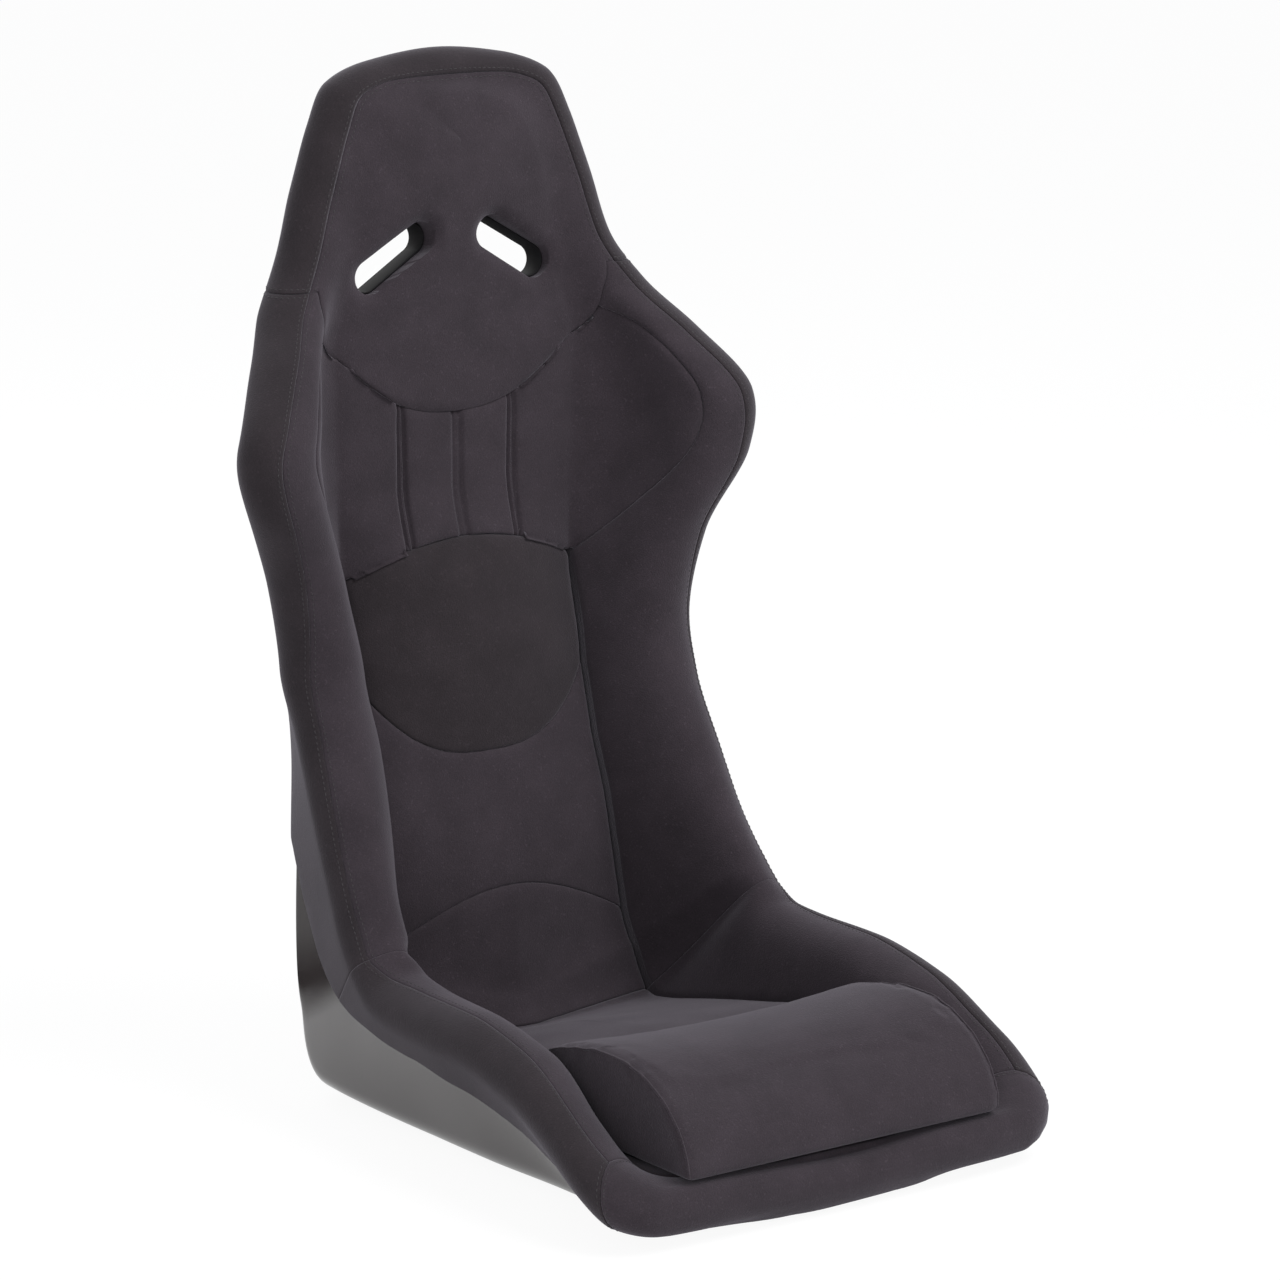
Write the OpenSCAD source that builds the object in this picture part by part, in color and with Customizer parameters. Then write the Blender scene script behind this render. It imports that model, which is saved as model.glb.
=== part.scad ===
// Fixed-back racing bucket seat: a moulded glass-fibre shell, foam pads in sewn fabric
// panels, a padded wrap round the rim and a thigh cushion that lifts off.
// Millimetres. +Z is up, the seat faces -Y, and +X is to the right seen from the front.
// The origin is the centre of the four base inserts, on the mounting face.
//
// Every pad lies on the same family of cross-sections. A station v runs from the front
// lip (0) over the floor, hip, back and neck to the top of the head (last). In a section,
// s runs outwards: 0 at the centre, 1 at the seam beside the centre pads, 2 at the ridge
// seam on the rim, 3 at the hem of the wrap on the outside of the shell.

/* [Shell side view] */
// Thickness of the moulded wall
wall = 4; // [3:0.5:5]
// Depth of the mounting platform and bosses under the floor
foot_t = 8; // [6:1:12]
// How far the front lip reaches ahead of the origin
lip_reach = 326; // [316:1:336]
// Height of the lip's edge above the mounting face
lip_h = 24; // [22:1:28]
// Height of the thigh wings above the mounting face
thigh_h = 121; // [112:1:130]
// How far the lower back lies behind the origin
tail_reach = 230; // [222:1:238]
// How far the upper back lies behind the origin
back_reach = 291; // [282:1:300]
// How far the head lies behind the origin
head_reach = 308; // [300:1:316]
// Height of the shell's rim at the waist
waist_h = 404; // [394:1:414]
// Height of the shell's rim at the shoulders
shoulder_h = 618; // [606:1:630]
// Height of the shell's rim at the neck
neck_h = 722; // [712:1:732]
// Height of the shell's rim at the top of the head
seat_h = 924; // [906:1:942]

/* [Shell widths at the rim] */
// Width of the front lip at its corners
lip_w = 446; // [436:1:456]
// Width at the thigh wings
thigh_w = 468; // [458:1:480]
// Width at the hips
hip_w = 446; // [436:1:456]
// Width at the waist
waist_w = 414; // [404:1:424]
// Width at the shoulder wings
shoulder_w = 528; // [510:1:546]
// Width at the neck
neck_w = 376; // [366:1:386]
// Width at the head
head_w = 238; // [230:1:248]
// Width of the shell's floor
floor_w = 402; // [394:1:410]

/* [Depth of the side wings] */
// How far the hip wings stand out from the lower back
hip_d = 126; // [116:1:136]
// How far the waist wings stand out from the back
waist_d = 46; // [40:1:54]
// How far the shoulder wings stand out from the back
shoulder_d = 100; // [88:1:110]

/* [Padding] */
// Width of the centre pads, between their side seams
column_w = 260; // [250:1:268]
// Thickness of the pad under the thigh cushion
base_pad_t = 40; // [36:1:44]
// Thickness of the seat pad at its front edge
squab_front_t = 86; // [80:1:90]
// Thickness of the seat pad at the back
squab_rear_t = 52; // [46:1:58]
// Thickness of the tail pad
tail_t = 62; // [56:1:68]
// Thickness of the upper back pads
back_t = 26; // [22:1:30]
// Thickness of the lumbar pad at its sides
lumbar_t = 22; // [18:1:26]
// Crown of the lumbar pad at its centre
lumbar_crown = 28; // [20:1:34]
// Thickness of the head pad
head_t = 50; // [44:1:56]
// Radius of the foam roll on the back and thigh wings
roll_r = 28; // [26:0.5:31]
// Radius of the foam roll on the front lip
lip_roll_r = 20; // [18:0.5:23]
// Radius of the foam roll on the head
head_roll_r = 24; // [22:0.5:26]
// Padding of the wrap outside the shell, at the rim
wrap_t = 8; // [6:0.5:10]
// Thickness of the wrap at its hem
hem_t = 2.5; // [2:0.5:4]
// Length of the wrap down the outside of the thigh wings
thigh_wrap = 30; // [24:1:36]
// Length of the wrap down the outside of the back wings
back_wrap = 140; // [124:1:156]
// Length of the wrap behind the head
head_wrap_l = 50; // [44:1:54]
// Depth that the pads' edges are drawn into their seams
seam_dip = 5; // [3:0.5:7]
// Depth of the sewn channels
channel_dip = 4; // [3:0.5:6]
// Distance between the sewn channels
channel_pitch = 61; // [54:1:66]
// Gap between neighbouring pads
seam_gap = 0.6; // [0.5:0.1:0.8]
// Gap between the pads and the shell
pad_gap = 1; // [0.9:0.1:1.3]

/* [Harness slots] */
// Clear length of a shoulder belt slot
slot_l = 88; // [80:1:92]
// Clear height of a shoulder belt slot
slot_h = 28; // [24:1:30]
// Distance between the slots' centres
slot_pitch = 130; // [126:1:134]
// Height of the slots' centres above the neck
slot_rise = 35; // [30:1:40]
// Slope of the slots, outer end down
slot_tilt = 31; // [26:1:36]
// Wall of the slot liners
liner_t = 2; // [1.5:0.5:3]
// Width of the liners' rear flange
liner_flange = 7; // [5:1:9]

/* [Thigh cushion] */
// Width of the thigh cushion
cushion_w = 342; // [334:1:346]
// Length of the thigh cushion
cushion_l = 212; // [206:1:218]
// Height of the thigh cushion at its crown
cushion_h = 88; // [82:1:94]
// Height of the thigh cushion's rear face
cushion_rear_h = 68; // [62:1:74]
// Dish across the thigh cushion
cushion_dish = 10; // [6:1:14]
// Thickness of the cushion's cover with its scrim
cover_t = 3; // [2:0.5:4]
// Width of a hook-and-loop strip
strip_w = 50; // [40:1:60]
// Thickness of one half of a hook-and-loop strip
strip_t = 1.2; // [1:0.1:1.6]
// Width of the zip's tape
zip_w = 24; // [20:1:28]

/* [Base mounting] */
// Distance between the inserts, side to side
bolt_x = 270; // [250:1:290]
// Distance between the inserts, front to back
bolt_y = 280; // [272:1:284]
// Bore of the inserts, the tapping size of an M8 thread
insert_bore = 6.8; // [6.6:0.1:7]
// Outer diameter of the inserts
insert_d = 14; // [13:0.5:16]
// Diameter of the inserts' flange
flange_d = 26; // [24:1:30]
// Thickness of the inserts' flange
flange_t = 2.5; // [2:0.5:3]
// Width of a backing plate
plate_w = 36; // [32:1:40]
// Thickness of a backing plate
plate_t = 3; // [2:0.5:4]
// Diameter of the bosses round the front inserts
boss_d = 48; // [40:1:56]

/* [Hidden] */
$fn = 48;

gelcoat = [0.10, 0.10, 0.11];
fabric = [0.25, 0.24, 0.26];
fabric_dark = [0.19, 0.18, 0.20];
foam = [0.85, 0.80, 0.62];
steel = [0.66, 0.67, 0.69];
plastic = [0.08, 0.08, 0.09];

floor_z = foot_t + wall;
lip_root = 106;                     // from the lip's edge back to the centre of its fan
spine_front = lip_root - lip_reach; // y where the lip's sections fan out
column = column_w / 2;

function mix(a, b, t) = a + (b - a) * t;
function ramp(t) = max(0, min(1, t));

// One row per station:
//  spine y, spine z, rim x, rim y, rim z, tilt, floor half width, bend radius,
//  pad thickness, crown, seam distance, seam rise angle, fullness, ridge angle,
//  roll radius, wrap length
STATIONS = [
    // front lip
    [spine_front - 4, floor_z, 0, -lip_reach, lip_h, 0, 100, 18,
     base_pad_t, 0, 90, 30, 0.40, 90, lip_roll_r, thigh_wrap + 4],
    [spine_front, floor_z, lip_w / 2 - 120, -lip_reach, lip_h, 0, 130, 18,
     base_pad_t, 0, 124, 20, 0.40, 90, lip_roll_r, thigh_wrap + 4],
    [spine_front + 4, floor_z, lip_w / 2 - 36, 3 - lip_reach, lip_h, 0, 170, 20,
     base_pad_t, 0, 172, 8, 0.40, 90, lip_roll_r + 1, thigh_wrap + 4],
    [spine_front + 20, floor_z, lip_w / 2, 30 - lip_reach, mix(lip_h, thigh_h, 0.07), 0,
     floor_w / 2 - 18, 24, base_pad_t, 0, 190, 35, 0.40, 90, mix(lip_roll_r, roll_r, 0.8),
     thigh_wrap + 2],
    [spine_front + 55, floor_z, thigh_w / 2, 84 - lip_reach, mix(lip_h, thigh_h, 0.42), 0,
     floor_w / 2 - 8, 32, base_pad_t + 2, 0, 185, 75, 0.45, 90, roll_r - 1, thigh_wrap],
    // thigh wings
    [-115, floor_z, thigh_w / 2, -115 - 0.106 * thigh_w, thigh_h - 17, 0, floor_w / 2 - 4, 34,
     squab_front_t, 0, 180, 85, 0.50, 90, roll_r, thigh_wrap],
    [-40, floor_z, thigh_w / 2, -40 - 0.083 * thigh_w, thigh_h - 1, 2, floor_w / 2, 30,
     squab_front_t - 6, 0, 174, 80, 0.50, 90, roll_r, thigh_wrap],
    [40, floor_z, thigh_w / 2 - 1, -12, thigh_h, 8, floor_w / 2, 28,
     mix(squab_front_t, squab_rear_t, 0.53), 0, 168, 75, 0.50, 88, roll_r, thigh_wrap - 8],
    // hip
    [115, floor_z, mix(thigh_w, hip_w, 0.3) / 2, tail_reach - 182, thigh_h + 7, 25,
     floor_w / 2, 28, squab_rear_t + 6, 0, 160, 70, 0.50, 75, roll_r, thigh_wrap - 6],
    [172, floor_z, mix(thigh_w, hip_w, 0.65) / 2, tail_reach - 150, thigh_h + 25, 42,
     floor_w / 2, 28, squab_rear_t, 0, 152, 70, 0.50, 58, roll_r, thigh_wrap + 12],
    [tail_reach - 17, floor_z + 26, hip_w / 2, tail_reach - 122, thigh_h + 55, 55,
     floor_w / 2, 28, tail_t, 0, 145, 70, 0.50, 48, roll_r, back_wrap - 58],
    [tail_reach - 1, floor_z + 83, hip_w / 2 - 6, tail_reach + 32 - hip_d, thigh_h + 97,
     63, floor_w / 2 - 2, 30, tail_t, 4, 140, 70, 0.50, 44, roll_r, back_wrap - 36],
    // back
    [tail_reach + 8, mix(thigh_h, waist_h, 0.2), mix(hip_w, waist_w, 0.68) / 2,
     tail_reach - 62, mix(thigh_h, waist_h, 0.555), 71, floor_w / 2 - 6, 32,
     tail_t - 8, 4, column + 4, 70, 0.50, 46, roll_r, back_wrap - 12],
    [mix(tail_reach, back_reach, 0.26), mix(thigh_h, waist_h, 0.5), waist_w / 2,
     mix(tail_reach, back_reach, 0.26) - waist_d + 2, mix(thigh_h, waist_h, 0.79), 77,
     floor_w / 2 - 13, 36, mix(tail_t, lumbar_t, 0.7), 8, column, 72, 0.50, 50, roll_r,
     back_wrap - 2],
    [mix(tail_reach, back_reach, 0.5), waist_h - 54, waist_w / 2 + 2,
     mix(tail_reach, back_reach, 0.62) - waist_d, waist_h, 82, floor_w / 2 - 20, 40,
     lumbar_t, lumbar_crown - 6, column - 1, 70, 0.50, 58, roll_r, back_wrap - 5],
    [back_reach - 7, mix(waist_h, shoulder_h, 0.19), mix(waist_w, shoulder_w, 0.3) / 2,
     back_reach + 25 - shoulder_d, mix(waist_h, shoulder_h, 0.365), 87, floor_w / 2 - 20,
     40, lumbar_t, lumbar_crown, column, 50, 0.50, 74, roll_r, back_wrap - 10],
    [back_reach, mix(waist_h, shoulder_h, 0.66), shoulder_w / 2 - 2,
     back_reach + 4 - shoulder_d, mix(waist_h, shoulder_h, 0.74), 90, floor_w / 2 - 8, 40,
     back_t, 3, column, 20, 0.50, 84, roll_r, back_wrap + 16],
    [back_reach, shoulder_h - 3, shoulder_w / 2, back_reach - shoulder_d, shoulder_h, 90,
     floor_w / 2 - 8, 40, back_t + 1, 2, column + 2, 16, 0.50, 86, roll_r, back_wrap + 24],
    [back_reach + 1, mix(shoulder_h, neck_h, 0.55), mix(shoulder_w, neck_w, 0.5) / 2,
     mix(back_reach - shoulder_d, back_reach - 18, 0.44), mix(shoulder_h, neck_h, 0.56),
     90, floor_w / 2 - 18, 40, back_t + 2, 3, column + 2, 14, 0.50, 88, roll_r,
     back_wrap + 6],
    // neck and head
    [back_reach + 3, neck_h + 3, neck_w / 2, back_reach - 19, neck_h, 90, neck_w / 2 - 36,
     25, back_t + 4, 3, neck_w / 2 - 71, 6, 0.45, 90, roll_r - 1, head_wrap_l + 18],
    [mix(back_reach, head_reach, 0.4), mix(neck_h, seat_h, 0.262),
     mix(neck_w, head_w, 0.46) / 2, back_reach + 3, mix(neck_h, seat_h, 0.218), 90, mix(neck_w, head_w, 0.46) / 2 - 24, 18,
     back_t + 10, 4, mix(neck_w, head_w, 0.46) / 2 - 54, -5, 0.40, 90, roll_r - 2,
     head_wrap_l + 6],
    [mix(back_reach, head_reach, 0.76), mix(neck_h, seat_h, 0.485), head_w / 2 + 20, head_reach - 10,
     mix(neck_h, seat_h, 0.5), 90, head_w / 2, 15, head_t - 2, 6, head_w / 2 - 25,
     -12, 0.40, 90, head_roll_r + 2, head_wrap_l + 6],
    [head_reach, mix(neck_h, seat_h, 0.634), head_w / 2 + 1, head_reach - 8, mix(neck_h, seat_h, 0.775),
     90, head_w / 2 - 14, 15, head_t + 2, 6, head_w / 2 - 40, -16, 0.40, 90,
     head_roll_r + 1, head_wrap_l + 3],
    [head_reach, mix(neck_h, seat_h, 0.693), head_w / 2 - 21, head_reach - 5,
     mix(neck_h, seat_h, 0.936), 90,
     head_w / 2 - 36, 15, head_t, 6, head_w / 2 - 52, -20, 0.40, 90, head_roll_r,
     head_wrap_l],
    [head_reach, mix(neck_h, seat_h, 0.713), head_w / 2 - 61, head_reach - 3,
     mix(neck_h, seat_h, 0.99), 90,
     head_w / 2 - 64, 15, head_t - 2, 6, 50, -24, 0.40, 90, head_roll_r - 1,
     head_wrap_l],
    [head_reach, mix(neck_h, seat_h, 0.723), 0, head_reach - 2, seat_h, 90, 44, 15, head_t - 2, 6, 38,
     -24, 0.40, 90, head_roll_r - 1, head_wrap_l]
];
LAST = len(STATIONS) - 1;

// Stations where the pads meet
v_lip = 3.2;        // lip pad to thigh bolster
v_lip_hem = 2.4;    // the same seam at the hem, under the lip
v_cushion = 5;      // pad under the thigh cushion to seat pad
v_squab = 9.25;     // seat pad to tail pad, and thigh to torso bolster
v_tail = 10.55;     // tail pad to lower back pad, at the sides
v_lumbar_lo = 13.35; // foot of the lumbar pad, at the centre
v_lumbar_hi = 15.5; // top of the lumbar pad, at the centre
v_join = 19.4;      // torso bolster to head, at the ridge

// Lower edge of the head pad's bib, as [s, v]
BIB = [[0, 16.95], [channel_pitch / column, 17.05], [1, 17.95], [1.25, 18.27], [1.5, 18.65],
    [1.75, 19.05], [1.86, v_join], [2, v_join]];
// Outline of the shoulder wing pads, as [v, s]
WING = [[15, 1], [15.5, 1.34], [16, 1.64], [16.5, 1.77], [17, 1.79], [17.5, 1.73],
    [18, 1.57], [18.4, 1.34]];

/* Interpolation between stations, smooth and without overshoot */
function gentle(a, b) = a * b <= 0 ? 0 : 2 * a * b / (a + b);
function tangent(t, i) = let (n = len(t) - 1)
    [for (c = [0:len(t[0]) - 1])
        i > 0 && i < n ? gentle(t[i][c] - t[i - 1][c], t[i + 1][c] - t[i][c])
        : c != 2 ? 0
        : i == 0 ? t[1][c] - t[0][c] : t[n][c] - t[n - 1][c]];
TANGENTS = [for (i = [0:LAST]) tangent(STATIONS, i)];
function station(v) = let (i = min(floor(v), LAST - 1), f = v - i)
    STATIONS[i] * (2 * f^3 - 3 * f^2 + 1) + TANGENTS[i] * (f^3 - 2 * f^2 + f)
    + STATIONS[i + 1] * (3 * f^2 - 2 * f^3) + TANGENTS[i + 1] * (f^3 - f^2);
function lookup_smooth(t, x, i = 0) =
    i < len(t) - 2 && x > t[i + 1][0] ? lookup_smooth(t, x, i + 1)
    : let (f = ramp((x - t[i][0]) / (t[i + 1][0] - t[i][0]))) mix(t[i][1], t[i + 1][1], f);

/* One cross-section of the seat: its axes, its sizes and the shell's inner line */
SPINE = 0; SIDE = 1; OUT = 2; RIM_W = 3; RIM_H = 4; FLOOR = 5; BEND = 6; CUT = 7;
LEAN = 8; FLAT = 9; ARC = 10; TOTAL = 11; ROLL = 12; ROW = 13;
// A section's plane holds the spine point, the rim point and the station's tilt. On the
// floor its first axis is level, so that the floor stays flat where sections lean.
v_heel = 9;
function unit(a) = a / norm(a);
function section(v) = let (
        row = station(v),
        spine = [0, row[0], row[1]],
        reach = [v <= 0 || v >= LAST ? 0 : row[2], row[3], row[4]] - spine,
        tilt = [0, -sin(row[5]), cos(row[5])],
        ease = ramp(v - v_heel),
        rise = row[5] * ease * ease * (3 - 2 * ease),
        level = [0, -sin(rise), cos(rise)],
        side = unit(reach - (reach * level) / (tilt * level) * tilt),
        out = unit(tilt - (tilt * side) * side),
        h = reach * out,
        w = reach * side,
        floor_half = min(row[6], w - 1),
        lean = atan2(h, w - floor_half),
        run = norm([h, w - floor_half]),
        cut = min(row[7] * tan(lean / 2), 0.8 * run),
        bend = cut / tan(lean / 2),
        arc = bend * lean * PI / 180,
        roll = [w, h] + (wall + wrap_t - row[14]) * [sin(lean), -cos(lean)])
    [spine, side, out, w, h, floor_half, bend, cut, lean, floor_half - cut, arc,
     floor_half - cut + arc + run - cut, roll, row];
function place(f, p) = f[SPINE] + p[0] * f[SIDE] + p[1] * f[OUT];

// A point l along the shell's inner line from the centre, off outside it
function wall_at(f, l, off) =
    l < f[FLAT] ? [l, -off]
    : l < f[FLAT] + f[ARC] ? let (a = (l - f[FLAT]) / f[BEND] * 180 / PI - 90)
        [f[FLAT], f[BEND]] + (f[BEND] + off) * [cos(a), sin(a)]
    : let (k = l - f[FLAT] - f[ARC], n = [sin(f[LEAN]), -cos(f[LEAN])])
        [f[FLOOR] + (f[CUT] + k) * cos(f[LEAN]), (f[CUT] + k) * sin(f[LEAN])] + off * n;

// The padded surface at s: centre pad, bolster, roll and wrap
wrap_start = 2.4;   // s where the roll passes into the flat of the wrap
function bezier(a, b, c, d, t) =
    a * (1 - t)^3 + b * 3 * t * (1 - t)^2 + c * 3 * t^2 * (1 - t) + d * t^3;
function skin_at(f, s) = let (r = f[ROW], seam = [r[10], r[8]], turn = r[13])
    s <= 1 ? [r[10] * s, r[8] + r[9] * (1 - s * s)]
    : s <= 2 ? let (
            ridge = f[ROLL] + r[14] * [cos(turn), sin(turn)],
            reach = norm(ridge - seam) * r[12])
        bezier(seam, seam + reach * [cos(r[11]), sin(r[11])],
            ridge - reach * [sin(turn), -cos(turn)], ridge, s - 1)
    : s <= wrap_start ? let (a = mix(turn, f[LEAN] - 90, (s - 2) / (wrap_start - 2)))
        f[ROLL] + r[14] * [cos(a), sin(a)]
    : let (l = wrap_length(f, s), k = (f[TOTAL] - l) / r[15],
            hem = wall + pad_gap + sag(f) + hem_t)
        wall_at(f, l, hem + (wall + wrap_t - hem) * max(1 - k, 0)^1.5);

// The side of a pad that lies against the shell
rim_s = 1.93;       // s where a bolster's back reaches the shell's edge
over_s = 2.12;      // s where the wrap's lining has crossed the shell's edge
bend_gap = 1.2;     // extra room over the bend of the shell
over_l = 4;         // how far down the outside it has come where the wrap's flat starts
// Where s lies along the shell, down the wrap: the side, the bend in thirds, the floor
function wrap_length(f, s) = let (hem = f[TOTAL] - f[ROW][15], k = (s - wrap_start) * 10)
    max(hem + (3 - s) * 4,
        k <= 1 ? mix(f[TOTAL], f[FLAT] + f[ARC], k)
        : k <= 4 ? f[FLAT] + f[ARC] * (4 - k) / 3
        : mix(f[FLAT], hem, (k - 4) / 2));
// How far the wrap's thirds stand off the bend at their corners
function sag(f) = (f[BEND] + wall) * (1 / cos(f[LEAN] / 6) - 1) + 1.5;
function lining_at(f, s) = let (r = f[ROW], seam = r[10], edge = f[TOTAL] + pad_gap)
    s <= 1 ? wall_at(f, seam * s, -pad_gap)
    : s <= rim_s ? wall_at(f, mix(seam, edge, (s - 1) / (rim_s - 1)),
        -pad_gap - bend_gap * ramp((s - 1) * 10) * ramp((rim_s - s) * 10))
    : s <= over_s ? wall_at(f, edge,
        mix(-pad_gap, wall + pad_gap, (s - rim_s) / (over_s - rim_s)))
    : s <= wrap_start ? let (k = (s - over_s) / (wrap_start - over_s))
        wall_at(f, edge - over_l * k, wall + pad_gap + sag(f) * k)
    : wall_at(f, min(edge - over_l, wrap_length(f, s)), wall + pad_gap + sag(f));

function flip(p, s) = s < 0 ? [-p[0], p[1], p[2]] : p;
function skin(v, s) = let (f = section(v)) flip(place(f, skin_at(f, abs(s))), s);
function lining(v, s) = let (f = section(v)) flip(place(f, lining_at(f, abs(s))), s);

/* Gaps and draws at a pad's edges, as shares of a station or of s */
function pace(v) = norm(section(min(v + 0.1, LAST))[SPINE] - section(max(v - 0.1, 0))[SPINE])
    / (min(v + 0.1, LAST) - max(v - 0.1, 0));
function v_gap(v) = seam_gap / 2 / max(pace(v), 20);
s_gap = seam_gap / 2 / 100;
// Rows between two stations, on a common half-station grid
function rows(a, b, step = 0.5) = let (eps = step / 8)
    [a, for (k = [ceil((a + eps) / step):floor((b - eps) / step)]) k * step, b];
function spread(a, b, n) = [for (i = [0:n]) mix(a, b, i / n)];
// How deep an edge is drawn in, t from 0 to 1 across the pad
edge_share = 0.16;
function draw(t, lo = 1, hi = 1) =
    max(lo * (1 - ramp(t / edge_share))^2, hi * (1 - ramp((1 - t) / edge_share))^2);

// A closed solid between two grids of points. A fold joins the two halves of a row that
// lies in the seat's centre plane, and a grid that spans both sides, across or over the
// head, is cut alike on both.
module between(top, bottom, fold_first = false, fold_last = false, both = false,
        over = false) {
    n = len(top) - 1;
    m = len(top[0]) - 1;
    points = [for (g = [top, bottom]) for (row = g) for (p = row) p];
    low = (n + 1) * (m + 1);
    function id(i, j) = i * (m + 1)
        + ((i == 0 && fold_first) || (i == n && fold_last) ? min(j, m - j) : j);
    function pair(a, b, c, d) = [[a, b, c], [a, c, d]];
    // next to a fold, only one diagonal keeps the triangles off its plane
    function turned(i, j) = both && (fold_first && i == 0 ? j < m / 2 : j >= m / 2);
    function quad(a, b, c, d, other) = other ? pair(b, c, d, a) : pair(a, b, c, d);
    sheets = [for (i = [0:n - 1]) for (j = [0:m - 1]) each concat(
        quad(id(i, j), id(i + 1, j), id(i + 1, j + 1), id(i, j + 1), turned(i, j)),
        quad(low + id(i + 1, j), low + id(i, j), low + id(i, j + 1),
            low + id(i + 1, j + 1), !turned(i, j)))];
    sides = [for (i = [0:n - 1]) each concat(
        quad(id(i + 1, 0), id(i, 0), low + id(i, 0), low + id(i + 1, 0),
            over && i >= n / 2),
        pair(id(i + 1, m), low + id(i + 1, m), low + id(i, m), id(i, m)))];
    first = fold_first ? [] : [for (j = [0:m - 1]) each
        pair(id(0, j), id(0, j + 1), low + id(0, j + 1), low + id(0, j))];
    last = fold_last ? [] : [for (j = [0:m - 1]) each
        pair(id(n, j), low + id(n, j), low + id(n, j + 1), id(n, j + 1))];
    polyhedron(points, concat(sheets, sides, first, last), convexity = 8);
}

// A pad over a grid of [v, s, draw], its top drawn in by the third value
module pad(grid, fold_first = false, fold_last = false, both = false, over = false) {
    bottom = [for (row = grid) [for (g = row) lining(g[0], g[1])]];
    top = [for (i = [0:len(grid) - 1]) [for (j = [0:len(grid[i]) - 1])
        let (g = grid[i][j], p = skin(g[0], g[1]), q = bottom[i][j])
        p + (q - p) * min(g[2] / norm(q - p), 0.6)]];
    between(top, bottom, fold_first, fold_last, both, over);
}

/* Shell */
function shell_lengths(f) = concat([0, f[FLAT] / 2],
    [for (i = [0:5]) f[FLAT] + f[ARC] * i / 5], [(f[FLAT] + f[ARC] + f[TOTAL]) / 2, f[TOTAL]]);
function shell_row(v, off) = let (f = section(v), l = shell_lengths(f), n = len(l) - 1)
    concat([for (k = [0:n - 1]) flip(place(f, wall_at(f, l[n - k], off)), -1)],
        [for (k = [0:n]) place(f, wall_at(f, l[k], off))]);

// A flat bar with round ends, standing on z = 0
module stadium(l, h, t) {
    linear_extrude(t) {
        square([l - h, h], center = true);
        for (e = [-1, 1]) translate([e * (l - h) / 2, 0]) circle(d = h);
    }
}
// A flat plate with round corners, standing on z = 0
module rounded_plate(l, w, r, t) {
    linear_extrude(t) {
        square([l - 2 * r, w], center = true);
        square([l, w - 2 * r], center = true);
        for (x = [-1, 1]) for (y = [-1, 1])
            translate([x * (l / 2 - r), y * (w / 2 - r)]) circle(r = r);
    }
}
// Moves its children to a harness slot, with +Z out of the back of the shell
v_slot = 19.65;
slot_z = neck_h + slot_rise * (seat_h - neck_h) / 202;
slot_lean = let (a = section(v_slot - 0.6)[SPINE], b = section(v_slot + 0.6)[SPINE])
    atan2(b[1] - a[1], b[2] - a[2]);
slot_y = let (a = section(v_slot)[SPINE]) a[1] + (slot_z - a[2]) * tan(slot_lean);
module at_slot(side) {
    translate([side * slot_pitch / 2, slot_y, slot_z]) rotate([-90 - slot_lean, 0, 0])
        rotate(side * slot_tilt) children();
}
slot_depth = 60;
liner_fit = 0.3;
module slot_hole(grow) {
    for (side = [-1, 1]) at_slot(side) translate([0, 0, -slot_depth])
        stadium(slot_l + 2 * grow, slot_h + 2 * grow, 2 * slot_depth);
}
module at_inserts() {
    for (x = [-1, 1]) for (y = [-1, 1])
        translate([x * bolt_x / 2, y * bolt_y / 2, 0]) children();
}
platform_l = floor_w - 76;
platform_front = -45;
platform_rear = 166;
platform_r = 30;
foot_sink = 2;      // how far the feet run into the floor's skin
insert_fit = 0.2;
module shell() {
    color(gelcoat) difference() {
        union() {
            grid = concat(rows(0, 4, 0.25), rows(4.5, 8.5), rows(8.75, 11.25, 0.25),
                rows(11.5, 18), rows(18.25, 20, 0.25), rows(20.5, LAST));
            between([for (v = grid) shell_row(v, 0)], [for (v = grid) shell_row(v, wall)],
                true, true, true);
            translate([0, (platform_front + platform_rear) / 2, 0])
                rounded_plate(platform_l, platform_rear - platform_front, platform_r,
                    foot_t + foot_sink);
            for (x = [-1, 1]) translate([x * bolt_x / 2, -bolt_y / 2, 0])
                cylinder(d = boss_d, h = foot_t + foot_sink);
        }
        at_inserts() translate([0, 0, -1])
            cylinder(d = insert_d + 2 * insert_fit, h = floor_z + 2);
        slot_hole(liner_t + liner_fit);
    }
}

/* Mounting hardware */
plate_l = bolt_x + plate_w;
plate_r = 6;
module backing_plate(y) {
    color(steel) difference() {
        translate([0, y, floor_z]) rounded_plate(plate_l, plate_w, plate_r, plate_t);
        at_inserts() translate([0, 0, floor_z - 1])
            cylinder(d = insert_d + 2 * insert_fit, h = plate_t + 2);
    }
}
module front_backing_plate() backing_plate(-bolt_y / 2);
module rear_backing_plate() backing_plate(bolt_y / 2);
insert_cap = 1.5;
module threaded_inserts() {
    top = floor_z + plate_t;
    color(steel) at_inserts() difference() {
        union() {
            cylinder(d = insert_d, h = top + flange_t);
            translate([0, 0, top]) cylinder(d = flange_d, h = flange_t);
        }
        translate([0, 0, -1]) cylinder(d = insert_bore, h = top + flange_t - insert_cap + 1);
    }
}
// Pockets in the foam over the backing plates and insert flanges
module plate_pocket(y) {
    air = 1;
    translate([0, y, floor_z - 1])
        rounded_plate(plate_l + 2 * air, plate_w + 2 * air, plate_r + air,
            plate_t + flange_t + 1 + air);
}

/* Centre pads */
function bib(s) = lookup_smooth(BIB, abs(s));
function tail_arc(s) = mix(11.75, v_tail, s * s);
function lumbar_foot(s) = v_lumbar_lo + 0.45 * s^4;
function lumbar_top(s) = v_lumbar_hi - 0.5 * s * s;
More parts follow.
